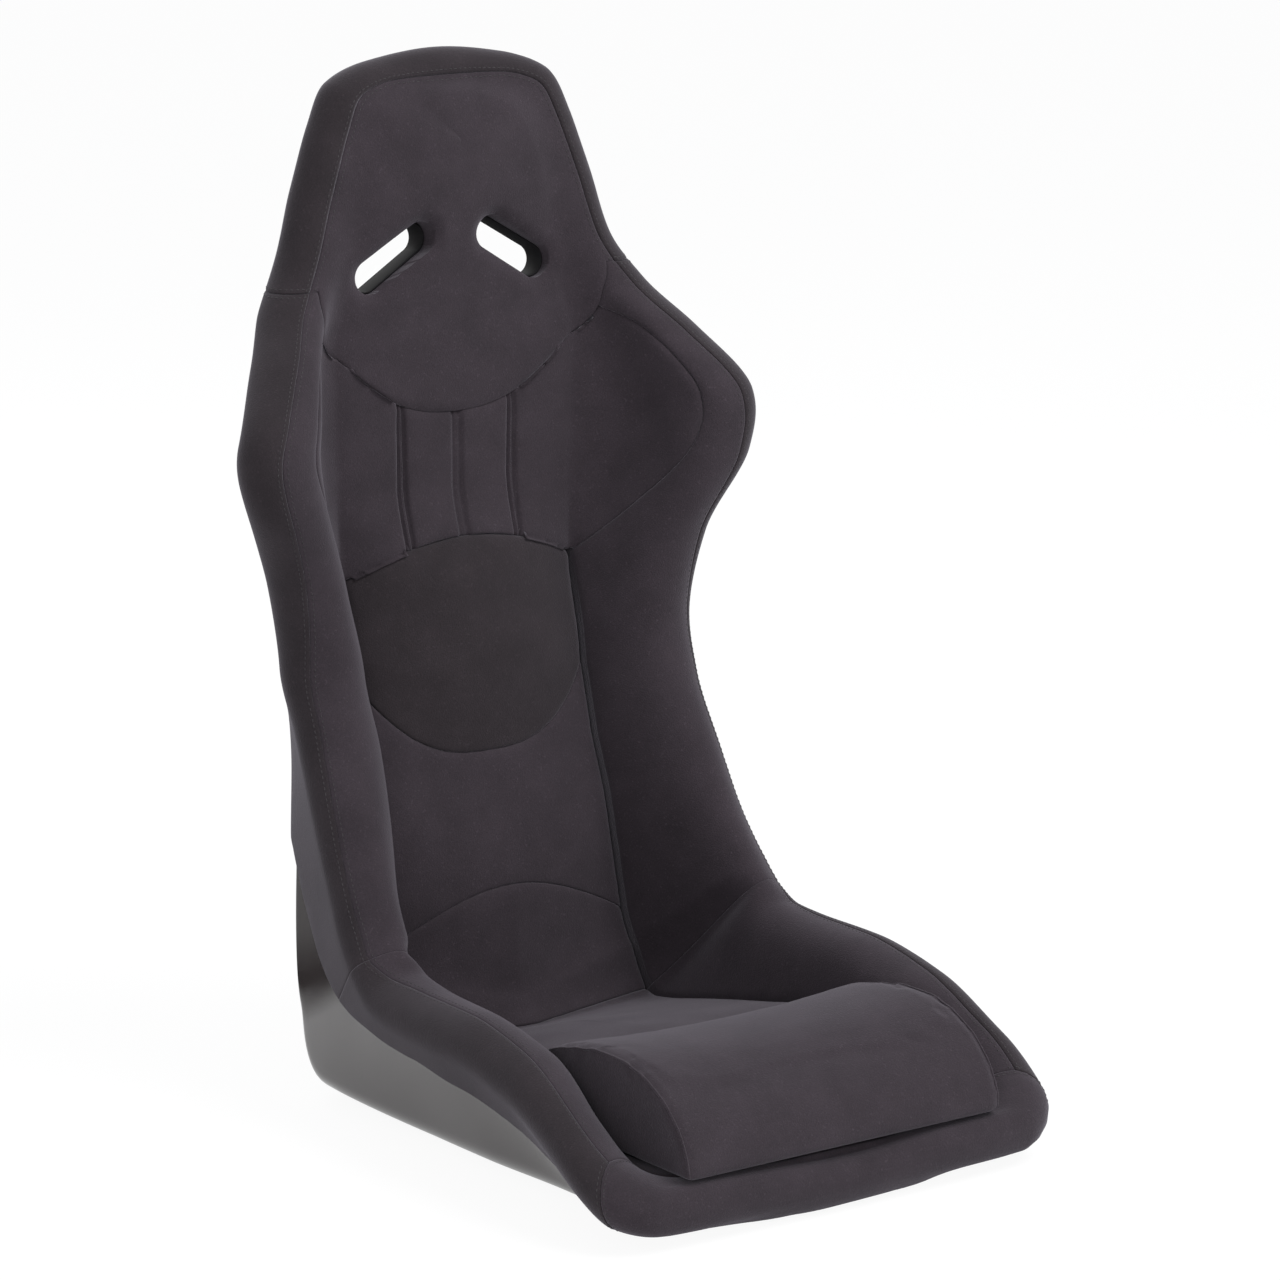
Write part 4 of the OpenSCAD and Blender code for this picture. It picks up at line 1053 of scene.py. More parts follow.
def slot_bar(side, low, high):
    """A bar with round ends through a harness slot, as a cutter that clears the liner."""
    deselect()
    radius = (slot_h / 2 + liner_t + slot_gap) * MM
    bpy.ops.mesh.primitive_cylinder_add(vertices=64, radius=radius,
                                        depth=(high - low) * MM,
                                        location=(0, 0, (high + low) / 2 * MM),
                                        rotation=(0, 0, math.radians(360 / 128)))
    obj = settle(bpy.context.object)
    draw_out(obj)
    return settle(obj, slot_matrix(side))


def slot_distance(p):
    """Distance outside the nearest harness slot's outline, in millimetres."""
    near = None
    for side in (-1, 1):
        m = np.array(slot_matrix(side).inverted())
        q = (p * MM) @ m[:3, :3].T + m[:3, 3]
        x = np.maximum(np.abs(q[..., 0]) / MM - (slot_l - slot_h) / 2, 0)
        d = np.hypot(x, q[..., 1] / MM) - slot_h / 2
        near = d if near is None else np.minimum(near, d)
    return near


# ---------------------------------------------------------------- the shell
def shell_grid():
    """Inner and outer faces of the moulding over stations and lengths."""
    v = np.unique(np.concatenate([np.linspace(0, 4, 81), np.linspace(4, 20, 193),
                                  np.linspace(20, LAST, 91)]))
    shares = np.concatenate([np.linspace(0, 1, 11)[:-1], np.linspace(1, 2, 13)[:-1],
                             np.linspace(2, 3, 15)])
    g = section(np.repeat(v[:, None], len(shares), 1))
    k = np.repeat(shares[None], len(v), 0)
    l = np.where(k < 1, k * g.flat, np.where(k < 2, g.flat + (k - 1) * g.arc,
                 g.flat + g.arc + (k - 2) * (g.total - g.flat - g.arc)))
    sheets = []
    for off in (0, wall):
        right = place(g, wall_at(g, l, off), k)
        left = right[:, :0:-1] * np.array([-1, 1, 1])
        sheets.append(np.concatenate([left, right], 1))
    return sheets


class SEAT_OT_shell(bpy.types.Operator):
    """Moulds the shell with its mounting platform, bosses, bores and harness slots"""
    bl_idname = "seat.shell"
    bl_label = "Shell"

    def execute(self, context):
        inner, outer = shell_grid()
        shell = closed_sheet("shell_moulding", inner, outer, weld=True)
        feet = [platform(), boss(-1), boss(1)]
        for foot in feet:
            cut_with(shell, foot, "UNION")
        for x in (-1, 1):
            for y in (-1, 1):
                deselect()
                bpy.ops.mesh.primitive_cylinder_add(
                    vertices=48, radius=(insert_d / 2 + insert_gap) * MM, depth=0.06,
                    location=(x * bolt_x / 2 * MM, y * bolt_y / 2 * MM, 0))
                cut_with(shell, bpy.context.object)
        for side in (-1, 1):
            cut_with(shell, slot_bar(side, -60, 60))
        smooth(shell, 30)
        put_on(shell, gelcoat(), "gelcoat", "seat", "shell")
        return {"FINISHED"}


platform_size = floor_w - 76, -45, 166     # width, and where its front and rear edges lie
platform_corner = 30


def round_underside(obj):
    """Rounds the lower edges of a foot."""
    choose(obj, lambda f: f.normal.z < -0.9, "FACE")
    bpy.ops.mesh.bevel(offset=foot_edge * MM, segments=3, affect="EDGES")
    object_mode()


def platform():
    """The raised platform under the rear of the floor, from a box with rounded corners."""
    deselect()
    length, front, rear = platform_size
    height = foot_t + 2
    bpy.ops.mesh.primitive_cube_add(size=1, location=(0, (front + rear) / 2 * MM,
                                                      height / 2 * MM))
    obj = bpy.context.object
    obj.scale = (length * MM, (rear - front) * MM, height * MM)
    settle(obj)
    choose(obj, lambda e: abs(e.verts[0].co.z - e.verts[1].co.z) > 1e-4, "EDGE")
    bpy.ops.mesh.bevel(offset=platform_corner * MM, segments=10, affect="EDGES")
    object_mode()
    round_underside(obj)
    return obj


def boss(side):
    """A round boss under a front insert."""
    deselect()
    height = foot_t + 2
    bpy.ops.mesh.primitive_cylinder_add(
        vertices=72, radius=boss_d / 2 * MM, depth=height * MM,
        location=(side * bolt_x / 2 * MM, -bolt_y / 2 * MM, height / 2 * MM))
    obj = bpy.context.object
    round_underside(obj)
    return settle(obj)


class SEAT_OT_liners(bpy.types.Operator):
    """Turns up the moulded liners of the two harness slots"""
    bl_idname = "seat.liners"
    bl_label = "Slot liners"

    def execute(self, context):
        for side, name in SIDES:
            liner = liner_ring(side)
            liner.name = "slot_liner_%s_moulding" % name
            put_on(liner, moulded_plastic(), "plastic", "seat", "slot_liner_%s" % name)
        return {"FINISHED"}


def liner_ring(side):
    """A ring of stadium outlines, extruded from one to the next and closed on itself."""
    deselect()
    r = slot_h / 2
    half = (slot_l - slot_h) / 2
    front, back = -(back_t - liner_short), wall + pad_gap + liner_t
    # radius and depth of each outline, with rounded edges
    outlines = [(r + liner_t, front + 0.8), (r + liner_t - 0.4, front + 0.2),
                (r + 0.8, front), (r + 0.3, front + 0.3), (r, front + 0.9),
                (r, back - 2.2), (r + 0.5, back - 0.8), (r + 1.6, back),
                (r + liner_flange - 1.0, back), (r + liner_flange - 0.3, back - 0.4),
                (r + liner_flange, back - 1.0), (r + liner_flange, wall + pad_gap),
                (r + liner_t + 0.3, wall + pad_gap), (r + liner_t, wall + pad_gap - 0.3)]
    bpy.ops.mesh.primitive_circle_add(vertices=64, radius=outlines[0][0] * MM,
                                      location=(0, 0, outlines[0][1] * MM),
                                      rotation=(0, 0, math.radians(360 / 128)))
    obj = settle(bpy.context.object)
    draw_out(obj)
    was = outlines[0]
    choose(obj, lambda v: True)
    for radius, z in outlines[1:]:
        bpy.ops.mesh.extrude_edges_move(
            TRANSFORM_OT_translate={"value": (0, 0, (z - was[1]) * MM)})
        ratio = radius / was[0]
        if abs(ratio - 1) > 1e-6:
            bm = bmesh.from_edit_mesh(obj.data)
            ring = [v for v in bm.verts if v.select]
            for way in (-1, 1):
                for v in bm.verts:
                    v.select_set(False)
                for v in ring:
                    if v.co.x * way > 0:
                        v.select_set(True)
                bm.select_flush_mode()
                bmesh.update_edit_mesh(obj.data)
                bpy.ops.transform.resize(value=(ratio, ratio, 1),
                                         center_override=(way * half * MM, 0, z * MM))
                bm = bmesh.from_edit_mesh(obj.data)
            for v in ring:
                v.select_set(True)
            for e in bm.edges:
                if e.verts[0].select and e.verts[1].select:
                    e.select_set(True)
            bmesh.update_edit_mesh(obj.data)
        was = (radius, z)
    object_mode()
    choose(obj, lambda v: v.is_boundary)
    bpy.ops.mesh.bridge_edge_loops()
    bpy.ops.mesh.select_all(action="SELECT")
    bpy.ops.mesh.normals_make_consistent(inside=False)
    object_mode()
    settle(obj, slot_matrix(side))
    return smooth(obj, 40)


# ---------------------------------------------------------------- pads of the back and seat
def smooth_line(table, x):
    """A smooth curve through a table of points, rounding its corners."""
    a, b = table[:, 0], table[:, 1]
    slope = np.gradient(b, a)
    i = np.clip(np.searchsorted(a, x) - 1, 0, len(a) - 2)
    w = a[i + 1] - a[i]
    f = np.clip((x - a[i]) / w, 0, 1)
    return hermite(b[i], slope[i] * w, b[i + 1], slope[i + 1] * w, f)


def bib(s):
    return np.where(np.abs(s) < BIB[-2, 0], smooth_line(BIB[:-1], np.abs(s)), v_join)


def torso_inner(v):
    """Where a torso bolster starts: centre seam, shoulder wing, then the head pad's bib."""
    s = np.linspace(1.2, BIB[-2, 0], 60)
    return np.where(v <= WING[0, 0], 1.0,
                    np.where(v <= WING_TOP, smooth_line(WING, np.minimum(v, WING_TOP)),
                             np.interp(v, bib(s), s)))


def square_slope(v):
    """The change of station with s that lets a seam cross the centre line squarely, on
    cross-sections that sweep forward or up on either side."""
    h = 0.05
    p, q, r = skin(np.array([v, v, v + h]), np.array([0, h, 0]))
    up = unit(r - p)
    return -dot(q - p, up) / np.linalg.norm(r - p)


def arc_line(v_mid, v_side, power=2):
    """A seam that is v_mid at the centre line and v_side at the centre pad's side seams."""
    slope = square_slope(v_mid)

    def line(s):
        a = np.abs(s)
        return v_mid + slope * a + (v_side - v_mid - slope) * a**power
    return line


tail_arc = arc_line(11.75, v_tail)
lumbar_foot = arc_line(v_lumbar_lo, v_lumbar_lo + 0.45, 3)
lumbar_top = arc_line(v_lumbar_hi, v_lumbar_hi - 0.5)


def cushion_line(s):
    return v_cushion + 0.45 * np.abs(s)


def squab_line(s):
    return v_squab + 0 * s


def torso_line(t):
    """Stations of the torso's bolster and wrap, from the hip seam up to the join."""
    return mix(v_squab + v_gap(v_squab), v_join - 3 * v_gap(v_join), t)


def between_lines(lo, hi):
    """Grid of a centre pad, from station lo(s) to hi(s)."""
    def at(t, u):
        s = mix(-1, 1, u)
        a, b = lo(s), hi(s)
        gap = v_gap(float(np.mean(a)))
        return mix(a + gap, b - gap, t), s * (1 - s_gap)
    return at


def clear_of_plate(y):
    """Makes room in a pad's underside for a backing plate and its inserts."""
    def under(bottom):
        far = np.maximum(np.abs(bottom[..., 0]) - (bolt_x + plate_w) / 2 - 1.5,
                         np.abs(bottom[..., 1] - y) - plate_w / 2 - 1.5)
        top = floor_z + plate_t + flange_t + 2
        raised = np.where(far < 0, top, mix(top, bottom[..., 2], ramp(far / 3)))
        bottom = bottom.copy()
        bottom[..., 2] = np.where(bottom[..., 2] < top, np.maximum(raised, bottom[..., 2]),
                                  bottom[..., 2])
        return bottom
    return under


class SEAT_OT_back_pads(bpy.types.Operator):
    """Sews the centre pads: tail, lower back, lumbar, channels and shoulder wings"""
    bl_idname = "seat.back_pads"
    bl_label = "Back pads"

    def execute(self, context):
        s = settings()
        dip, chan, puff = s.seam_depth / MM, s.channel_depth / MM, s.puff / MM
        size = mesh_size()
        side = ("tuck", dip, 12)
        cloth = seat_velour()
        tail, _ = panel("tail_pad_cover", between_lines(squab_line, tail_arc),
                        [("tuck", 2, 8), ("tuck", 1.6, 8), side, side], puff=puff,
                        seed=11, **size)
        put_pad(tail, 0.8, cloth, "fabric", "seat", "tail_pad")
        low, _ = panel("lower_back_pad_cover", between_lines(tail_arc, lumbar_foot),
                       [("tuck", 1.2, 7), ("tuck", 2.4, 9), side, side],
                       puff=puff, seed=12, **size)
        put_pad(low, 0.8, cloth, "fabric", "seat", "lower_back_pad")
        lumbar, _ = panel("lumbar_pad_cover", between_lines(lumbar_foot, lumbar_top),
                          [("tuck", 1.4, 8), ("tuck", 0.8 * dip, 10), side, side],
                          puff=2 * puff, seed=13, **size)
        put_pad(lumbar, 0.9, dark_velour_and_shade(), "fabric_dark", "seat", "lumbar_pad")

        def channels(t, u):
            x = mix(-1, 1, u) * (channel_s - s_gap)
            return mix(lumbar_top(x) + v_gap(15.5), bib(x) - v_gap(17), t), x

        def middle(p):
            return sewn_bead(np.abs(p[..., 0]), chan)
        strip, _ = panel("channel_pad_cover", channels,
                         [("tuck", 2, 8), ("tuck", 3, 10), ("bead", chan, 0),
                          ("bead", chan, 0)], fine=1.2, coarse=2.4, puff=0.5,
                         shape=middle, seed=14)
        put_pad(strip, 0.7, cloth, "fabric", "seat", "channel_pad")
        self.wings(cloth, chan, dip, puff, size)
        return {"FINISHED"}

    def wings(self, cloth, chan, dip, puff, size):
        for way, name in SIDES:
            def at(t, u, way=way):
                v_out = mix(WING[0, 0], WING_TOP, t)
                s_out = smooth_line(WING, v_out)
                s = mix(channel_s + s_gap, s_out - 2 * s_gap, u)
                low = np.where(s <= 1, lumbar_top(s), 15) + v_gap(15)
                high = bib(s) - 2.5 * v_gap(17)
                v_in = mix(lumbar_top(channel_s), bib(channel_s), t)
                v = mix(v_in, v_out, u**0.8)
                return np.clip(v, low, high), way * s
            wing, _ = panel("shoulder_wing_%s_cover" % name, at,
                            [("tuck", 0.6 * dip, 10), ("tuck", 2.6, 9),
                             ("bead", chan, 0), ("tuck", 2.0, 9)],
                            puff=puff, seed=15, **size)
            put_pad(wing, 0.8, cloth, "fabric", "seat", "shoulder_wing_%s" % name)


class SEAT_OT_head_pad(bpy.types.Operator):
    """Sews the head pad with its bib and pulls it into the harness slots"""
    bl_idname = "seat.head_pad"
    bl_label = "Head pad"

    @staticmethod
    def bib_edge(v):
        """The bib's rounded foot laps over the channels; higher up its edge lies flush."""
        return mix(1.8, 1.0, ramp((v - 17.4) / 1.0))

    def execute(self, context):
        def at(t, u):
            s = mix(-2, 2, u) * (1 - 4 * s_gap)
            return mix(bib(s) + v_gap(17), LAST, t), s

        def into_slots(p):
            d = slot_distance(p)
            return 7 * np.clip(1 - d / 15, 0, 1)**2
        pad, surface = panel("head_pad_cover", at,
                             [("tuck", self.bib_edge, 8), None, RIDGE, RIDGE],
                             fine=2.0, coarse=2.6, folds=(-1,), shape=into_slots, seed=21)
        for side in (-1, 1):
            cut_with(pad, slot_bar(side, -90, 60))
        smooth(pad, 60)
        put_pad(pad, 0.85, seat_velour(), "fabric", "seat", "head_pad")
        for edge in (2, 3):
            sew(surface, edge, 4.5)
        return {"FINISHED"}


class SEAT_OT_seat_pads(bpy.types.Operator):
    """Makes the seat pad and the flat pad under the thigh cushion"""
    bl_idname = "seat.seat_pads"
    bl_label = "Seat pads"

    def execute(self, context):
        s = settings()
        dip = s.seam_depth / MM
        size = dict(fine=2.2, coarse=s.mesh_coarse / MM)
        squab, _ = panel("squab_pad_cover",
                         between_lines(cushion_line, squab_line),
                         [None, ("tuck", 3, 10), ("tuck", 0.8 * dip, 14),
                          ("tuck", 0.8 * dip, 14)], puff=2.0,
                         under=clear_of_plate(bolt_y / 2), seed=31, **size)
        put_pad(squab, 0.8, seat_velour(), "fabric", "seat", "squab_pad")
        t = spaced(200, 2.5, 6)
        u = spaced(340, 2.5, 6)
        t, u = np.meshgrid(t, u, indexing="ij")
        x = mix(-1, 1, u) * (1 - 5 * s_gap)
        v = t * (cushion_line(x) - 2 * v_gap(v_cushion))
        g = section(v)
        top = g.spine + (np.abs(x) * g.row.seam)[..., None] * g.side
        top = top + np.array([0, 0, base_pad_t])
        top[..., 0] *= np.where(x < 0, -1, 1)
        top[..., 2] -= tucked(np.minimum(*edge_distances(top)[2:]), 3, 10)
        base = closed_sheet("front_base_pad_cover", top,
                            clear_of_plate(-bolt_y / 2)(lining(v, x)), weld=True)
        put_pad(base, 0.8, seat_velour(), "fabric", "seat", "front_base_pad")
        return {"FINISHED"}


class SEAT_OT_bolsters(bpy.types.Operator):
    """Sews the torso and thigh bolsters and the pad over the front lip"""
    bl_idname = "seat.bolsters"
    bl_label = "Bolsters"

    def execute(self, context):
        s = settings()
        dip, puff = s.seam_depth / MM, s.puff / MM
        size = mesh_size()

        def inner_edge(v):
            # deep beside the centre pads, shallow round the shoulder wings and bib
            return mix(dip, 1.5, ramp((v - 14.4) / 0.8))
        for way, name in SIDES:
            def torso(t, u, way=way):
                v = torso_line(t)
                inner = torso_inner(v) + (2 + 4 * ramp(v - 17)) * s_gap
                return v, way * mix(inner, 2 - s_gap, u)
            bolster, surface = panel(
                "torso_bolster_%s_cover" % name, torso,
                [("tuck", 0.5, 4), ("tuck", 0.8, 5), ("tuck", inner_edge, 9), RIDGE],
                puff=puff, seed=41, **size)
            put_pad(bolster, 0.85, seat_velour(), "fabric", "seat",
                    "torso_bolster_%s" % name)
            sew(surface, 3, 4.5)

            def thigh(t, u, way=way):
                v = mix(v_lip + v_gap(v_lip), v_squab - v_gap(v_squab), t)
                return v, way * mix(1 + s_gap, 2 - s_gap, u)
            bolster, surface = panel(
                "thigh_bolster_%s_cover" % name, thigh,
                [("tuck", 0.3, 3), ("tuck", 0.5, 4), ("tuck", 0.5 * dip, 10), RIDGE],
                puff=puff, seed=42, **size)
            put_pad(bolster, 0.85, seat_velour(), "fabric", "seat",
                    "thigh_bolster_%s" % name)
            sew(surface, 3, 4.5)

        def lip(t, u):
            e = mix(-v_lip, v_lip, t)
            x = mix(1 + s_gap, 3, u)
            end = mix(v_lip, v_lip_hem, ramp(x - 2)) - 5 * v_gap(v_lip)
            v = np.where(np.abs(e) <= 2, np.abs(e),
                         mix(2, end, (np.abs(e) - 2) / (v_lip - 2)))
            return v, np.where(e < 0, -x, x)
        pad = lip_panel(lip, size)
        put_pad(pad, 0.8, seat_velour(), "fabric", "seat", "lip_pad")
        return {"FINISHED"}


def lip_panel(at, size):
    """The lip's pad runs across the front, so its rows go from one side to the other."""
    t = spaced_twice(330, 1.8, 4.5)
    u = spaced(150, size["fine"], 4.0)
    pad, surface = panel_across("lip_pad_cover", *at(*np.meshgrid(t, u, indexing="ij")),
                                [(0.3, 3), (0.3, 3), (2.5, 10)], 0.35, 44)
    for edge in (0, 1):
        sew(surface, edge, 3.5, 0.12)
    return pad


class SEAT_OT_wraps(bpy.types.Operator):
    """Pulls the wraps over the rim and down the outside of the shell"""
    bl_idname = "seat.wraps"
    bl_label = "Wraps"

    def execute(self, context):
        size = mesh_size()
        hem = ("tuck", 1.2, 2.5)
        first = 2 + s_gap
        for way, name in SIDES:
            def torso(t, u, way=way):
                return torso_line(t), way * mix(first, 3, u)
            wrap, surface = panel("torso_wrap_%s_cover" % name, torso,
                                  [("tuck", 0.5, 4), ("tuck", 0.8, 4), RIDGE, hem],
                                  seed=51, **size)
            put_pad(wrap, 0.7, dark_velour_and_shade(), "fabric_dark", "seat", "torso_wrap_%s" % name)
            sew(surface, 2, 4.5)
            sew(surface, 1, 4.0, 0.02)

            def thigh(t, u, way=way):
                x = mix(first, 3, u)
                a = v_lip + v_gap(v_lip)
                b = v_squab - v_gap(v_squab)
                end = mix(v_lip, v_lip_hem, ramp(x - 2))
                return mix(a + end - v_lip, b, t), way * x
            wrap, surface = panel("thigh_wrap_%s_cover" % name, thigh,
                                  [("tuck", 0.3, 3), ("tuck", 0.5, 4), RIDGE, hem],
                                  seed=52, **size)
            put_pad(wrap, 0.7, dark_velour_and_shade(), "fabric_dark", "seat", "thigh_wrap_%s" % name)
            sew(surface, 2, 4.5)
            sew(surface, 0, 3.5, 0.02)
        head, surface = head_wrap(size)
        put_pad(head, 0.7, dark_velour_and_shade(), "fabric_dark", "seat", "head_wrap")
        sew(surface, 2, 4.5)
        for edge in (0, 1):
            sew(surface, edge, 4.0, 0.02)
        return {"FINISHED"}


def head_wrap(size):
    """The wrap round the head, from one join over the top to the other."""
    t, u = np.meshgrid(spaced_twice(330, **size), spaced(110, **size), indexing="ij")
    v = mix(v_join + v_gap(v_join), LAST, 1 - np.abs(2 * t - 1))
    s = mix(2 + s_gap, 3, u) * np.where(t <= 0.5, 1, -1)
    return panel_across("head_wrap_cover", v, s,
                        [(0.8, 4), (0.8, 4), RIDGE[1:], (1.2, 2.5)], 0.3, 53)


# ---------------------------------------------------------------- thigh cushion
hook_z = floor_z + base_pad_t + rest_gap
loop_z = hook_z + strip_t + rest_gap
cushion_z = loop_z + strip_t + rest_gap
cushion_rear = STATIONS[v_cushion][0] - 3
crown_y = cushion_rear - 0.47 * cushion_l


def cushion_top(x, y, d):
    """Height of the cushion's top at y, for a half-width share x, inset all round by d."""
    dish = cushion_dish * (1 - x * x)
    nose = cushion_rear - cushion_l + d - crown_y
    back = cushion_rear - crown_y
    front = (cushion_h - dish - d) * np.sqrt(np.clip(1 - ((y - crown_y) / nose)**2, 0, 1))
    rear = mix(cushion_h - dish, cushion_rear_h - dish * 0.6,
               np.clip((y - crown_y) / back, 0, 1)**2) - d
    return np.where(y < crown_y, front, rear)


def cushion_solid(name, d, base, nx=44, ny=40):
    """A cushion-shaped solid, inset by d."""
    half = cushion_w / 2 - d
    nose = cushion_rear - cushion_l + d
    x = np.linspace(-1, 1, nx)
    y = np.concatenate([np.linspace(cushion_rear - d, crown_y, ny // 2)[:-1],
                        mix(crown_y, nose, np.sin(np.linspace(0, math.pi / 2, ny // 2)))])
    x, y = np.meshgrid(x, y, indexing="ij")
    z = np.maximum(cushion_top(x, y, d), base + 1)
    top = np.stack([half * x, y, cushion_z + z], -1)
    bottom = np.stack([half * x, y, cushion_z + base + 0 * z], -1)
    return closed_sheet(name, top, bottom)


def vertices(obj):
    """The vertices of a mesh, in metres, one to a row."""
    flat = np.empty(len(obj.data.vertices) * 3)
    obj.data.vertices.foreach_get("co", flat)
    return flat.reshape(-1, 3)


def swell(obj, cap):
    """Stuffs a solid that is pinned by its underside: voxel remesh, cloth under pressure,
    movement straight out of the surface up to a cap, subdivision."""
    only(obj)
    mod = obj.modifiers.new("Remesh", "REMESH")
    mod.mode, mod.voxel_size = "VOXEL", 0.005
    bpy.ops.object.modifier_apply(modifier=mod.name)
    start = vertices(obj)
    normal = np.empty(start.size)
    obj.data.vertices.foreach_get("normal", normal)
    normal = normal.reshape(-1, 3)
    held = obj.vertex_groups.new(name="Pinned")
    underside = np.flatnonzero(start[:, 2] < start[:, 2].min() + 0.004)
    held.add(underside.tolist(), 1.0, "REPLACE")
    cloth = obj.modifiers.new("Cloth", "CLOTH")
    cloth.settings.effector_weights.gravity = 0
    cloth.settings.use_pressure = True
    cloth.settings.uniform_pressure_force = 4
    cloth.settings.tension_stiffness = 20
    cloth.settings.compression_stiffness = 20
    cloth.settings.shear_stiffness = 8
    cloth.settings.bending_stiffness = 0.6
    cloth.settings.quality = 6
    cloth.settings.vertex_group_mass = held.name
    cloth.point_cache.frame_start = 1
    cloth.point_cache.frame_end = 20
    for f in range(1, 21):
        bpy.context.scene.frame_set(f)
        bpy.context.view_layer.update()
    bpy.ops.object.modifier_apply(modifier=cloth.name)
    bpy.context.scene.frame_set(1)
    rise = np.clip(dot(vertices(obj) - start, normal), 0, cap)
    obj.data.vertices.foreach_set("co", (start + normal * rise[:, None]).ravel())
    sub = obj.modifiers.new("Subdivision", "SUBSURF")
    sub.levels = sub.render_levels = 1
    bpy.ops.object.modifier_apply(modifier=sub.name)
    return obj


class SEAT_OT_thigh_cushion(bpy.types.Operator):
    """Stuffs the thigh cushion and sews its edge seams"""
    bl_idname = "seat.thigh_cushion"
    bl_label = "Thigh cushion"

    def execute(self, context):
        cover = cushion_solid("cushion_cover_velour", 1.0, 0.3)
        swell(cover, settings().cushion_swell)
        p = vertices(cover) / MM
        half = cushion_w / 2
        # the gussets stay flat and upright, the underside lies flat on its strips
        p[:, 0] = np.clip(p[:, 0], -half, half)
        p[:, 1] = np.clip(p[:, 1], cushion_rear - cushion_l, cushion_rear)
        p[:, 2] = np.maximum(p[:, 2], cushion_z + 0.05)
        x = np.clip(p[:, 0] / half, -1, 1)
        limit = cushion_z + cushion_top(x, p[:, 1], 0) + 1.0
        p[:, 2] = np.where(p[:, 2] > limit, mix(limit, p[:, 2], 0.2), p[:, 2])
        # a groove runs inside each gusset's piping
        edge = half - np.abs(p[:, 0])
        rise = p[:, 2] - cushion_z
        p[:, 2] -= np.where(rise > 8, 1.2 * np.exp(-((edge - 4.5) / 2.2)**2), 0)
        cover.data.vertices.foreach_set("co", (p * MM).ravel())
        cover.data.update()
        cover.data.shade_smooth()
        put_pad(cover, 0.85, seat_velour(), "fabric", "thigh_cushion", "cushion_cover")
        self.piping(cover)
        block = cushion_solid("cushion_foam_block", cover_t + pad_gap + 4,
                              cover_t + pad_gap + 3, 30, 28)
        bevel(block, 0.003, 2)
        put_pad(block, 1.0, open_cell_foam(), "foam", "thigh_cushion", "cushion_foam")
        return {"FINISHED"}

    def piping(self, cover):
        """A fine piped seam along the top of both gussets, from the rear to the nose."""
        tree = BVHTree.FromObject(cover, bpy.context.evaluated_depsgraph_get())
        half = cushion_w / 2 - 1.6
        angles = np.linspace(0, math.pi / 2, 40)
        for way, name in SIDES:
            ys = np.concatenate([np.linspace(cushion_rear - 2, crown_y, 24)[:-1],
                                 mix(crown_y, cushion_rear - cushion_l + 1, np.sin(angles))])
            zs = cushion_z + cushion_top(np.full(ys.shape, 0.99), ys, 1.5)
            zs = np.maximum(zs, cushion_z + 1.5)
            path = []
            for y, z in zip(ys, zs):
                near = tree.find_nearest(Vector((way * half, y, z)) * MM)
                path.append(near[0] / MM)
            path = np.array([tuple(q) for q in path])
            for _ in range(3):
                path[1:-1] = (path[:-2] + 2 * path[1:-1] + path[2:]) / 4
            tube = cord_tube("cushion_seam_%s" % name, path, 1.1)
            put_on(tube, seat_velour(), "fabric", "thigh_cushion")


def cord_tube(name, path, radius, sides=10):
    """A closed tube along a path in millimetres, with rounded ends."""
    t = unit(np.gradient(path, axis=0))
    n = unit(np.cross(t, np.array([1.0, 0.13, 0.07])))
    b = np.cross(t, n)
    rs = np.full(len(path), radius)
    rs[0] = rs[-1] = 0.45 * radius
    turn = np.arange(sides) * 2 * math.pi / sides
    ring = path[:, None] + rs[:, None, None] * (np.cos(turn)[None, :, None] * n[:, None]
                                                + np.sin(turn)[None, :, None] * b[:, None])
    verts = np.concatenate([ring.reshape(-1, 3), path[:1] - t[:1] * radius * 0.5,
                            path[-1:] + t[-1:] * radius * 0.5]) * MM
    count = len(path)
    faces = []
    for i in range(count - 1):
        for j in range(sides):
            k = (j + 1) % sides
            faces.append((i * sides + j, i * sides + k, (i + 1) * sides + k,
                          (i + 1) * sides + j))
    for j in range(sides):
        k = (j + 1) % sides
        faces.append((count * sides, k, j))
        faces.append((count * sides + 1, (count - 1) * sides + j, (count - 1) * sides + k))
    return face_outward(new_object(name, verts, faces))


class SEAT_OT_fittings(bpy.types.Operator):
    """Finishes the backing plates, inserts, hook-and-loop strips and zip"""
    bl_idname = "seat.fittings"
    bl_label = "Fittings"

    def execute(self, context):
        for name in ("front_backing_plate", "rear_backing_plate", "threaded_inserts",
                     "cushion_zip_pull"):
            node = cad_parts[name]
            paint(node, zinc_plate())
        for name, tape, scale in (("hook_strips", "Nylon hook tape", 1.6),
                                  ("loop_strips", "Nylon loop tape", 1.1),
                                  ("cushion_zip", "Woven zip tape", 0.8)):
            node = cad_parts[name]
            paint(node, hook_and_loop(tape, scale))
        return {"FINISHED"}


class SEAT_OT_stitching(bpy.types.Operator):
    """Runs the rows of stitches beside the seams"""
    bl_idname = "seat.stitching"
    bl_label = "Stitching"

    def execute(self, context):
        rows = [r for r in STITCHES if len(r[0]) > 3]
        half = (len(rows) + 1) // 2
        make_stitches("seam_stitches_back", rows[:half], "seat")
        make_stitches("seam_stitches_rim", rows[half:], "seat")
        return {"FINISHED"}


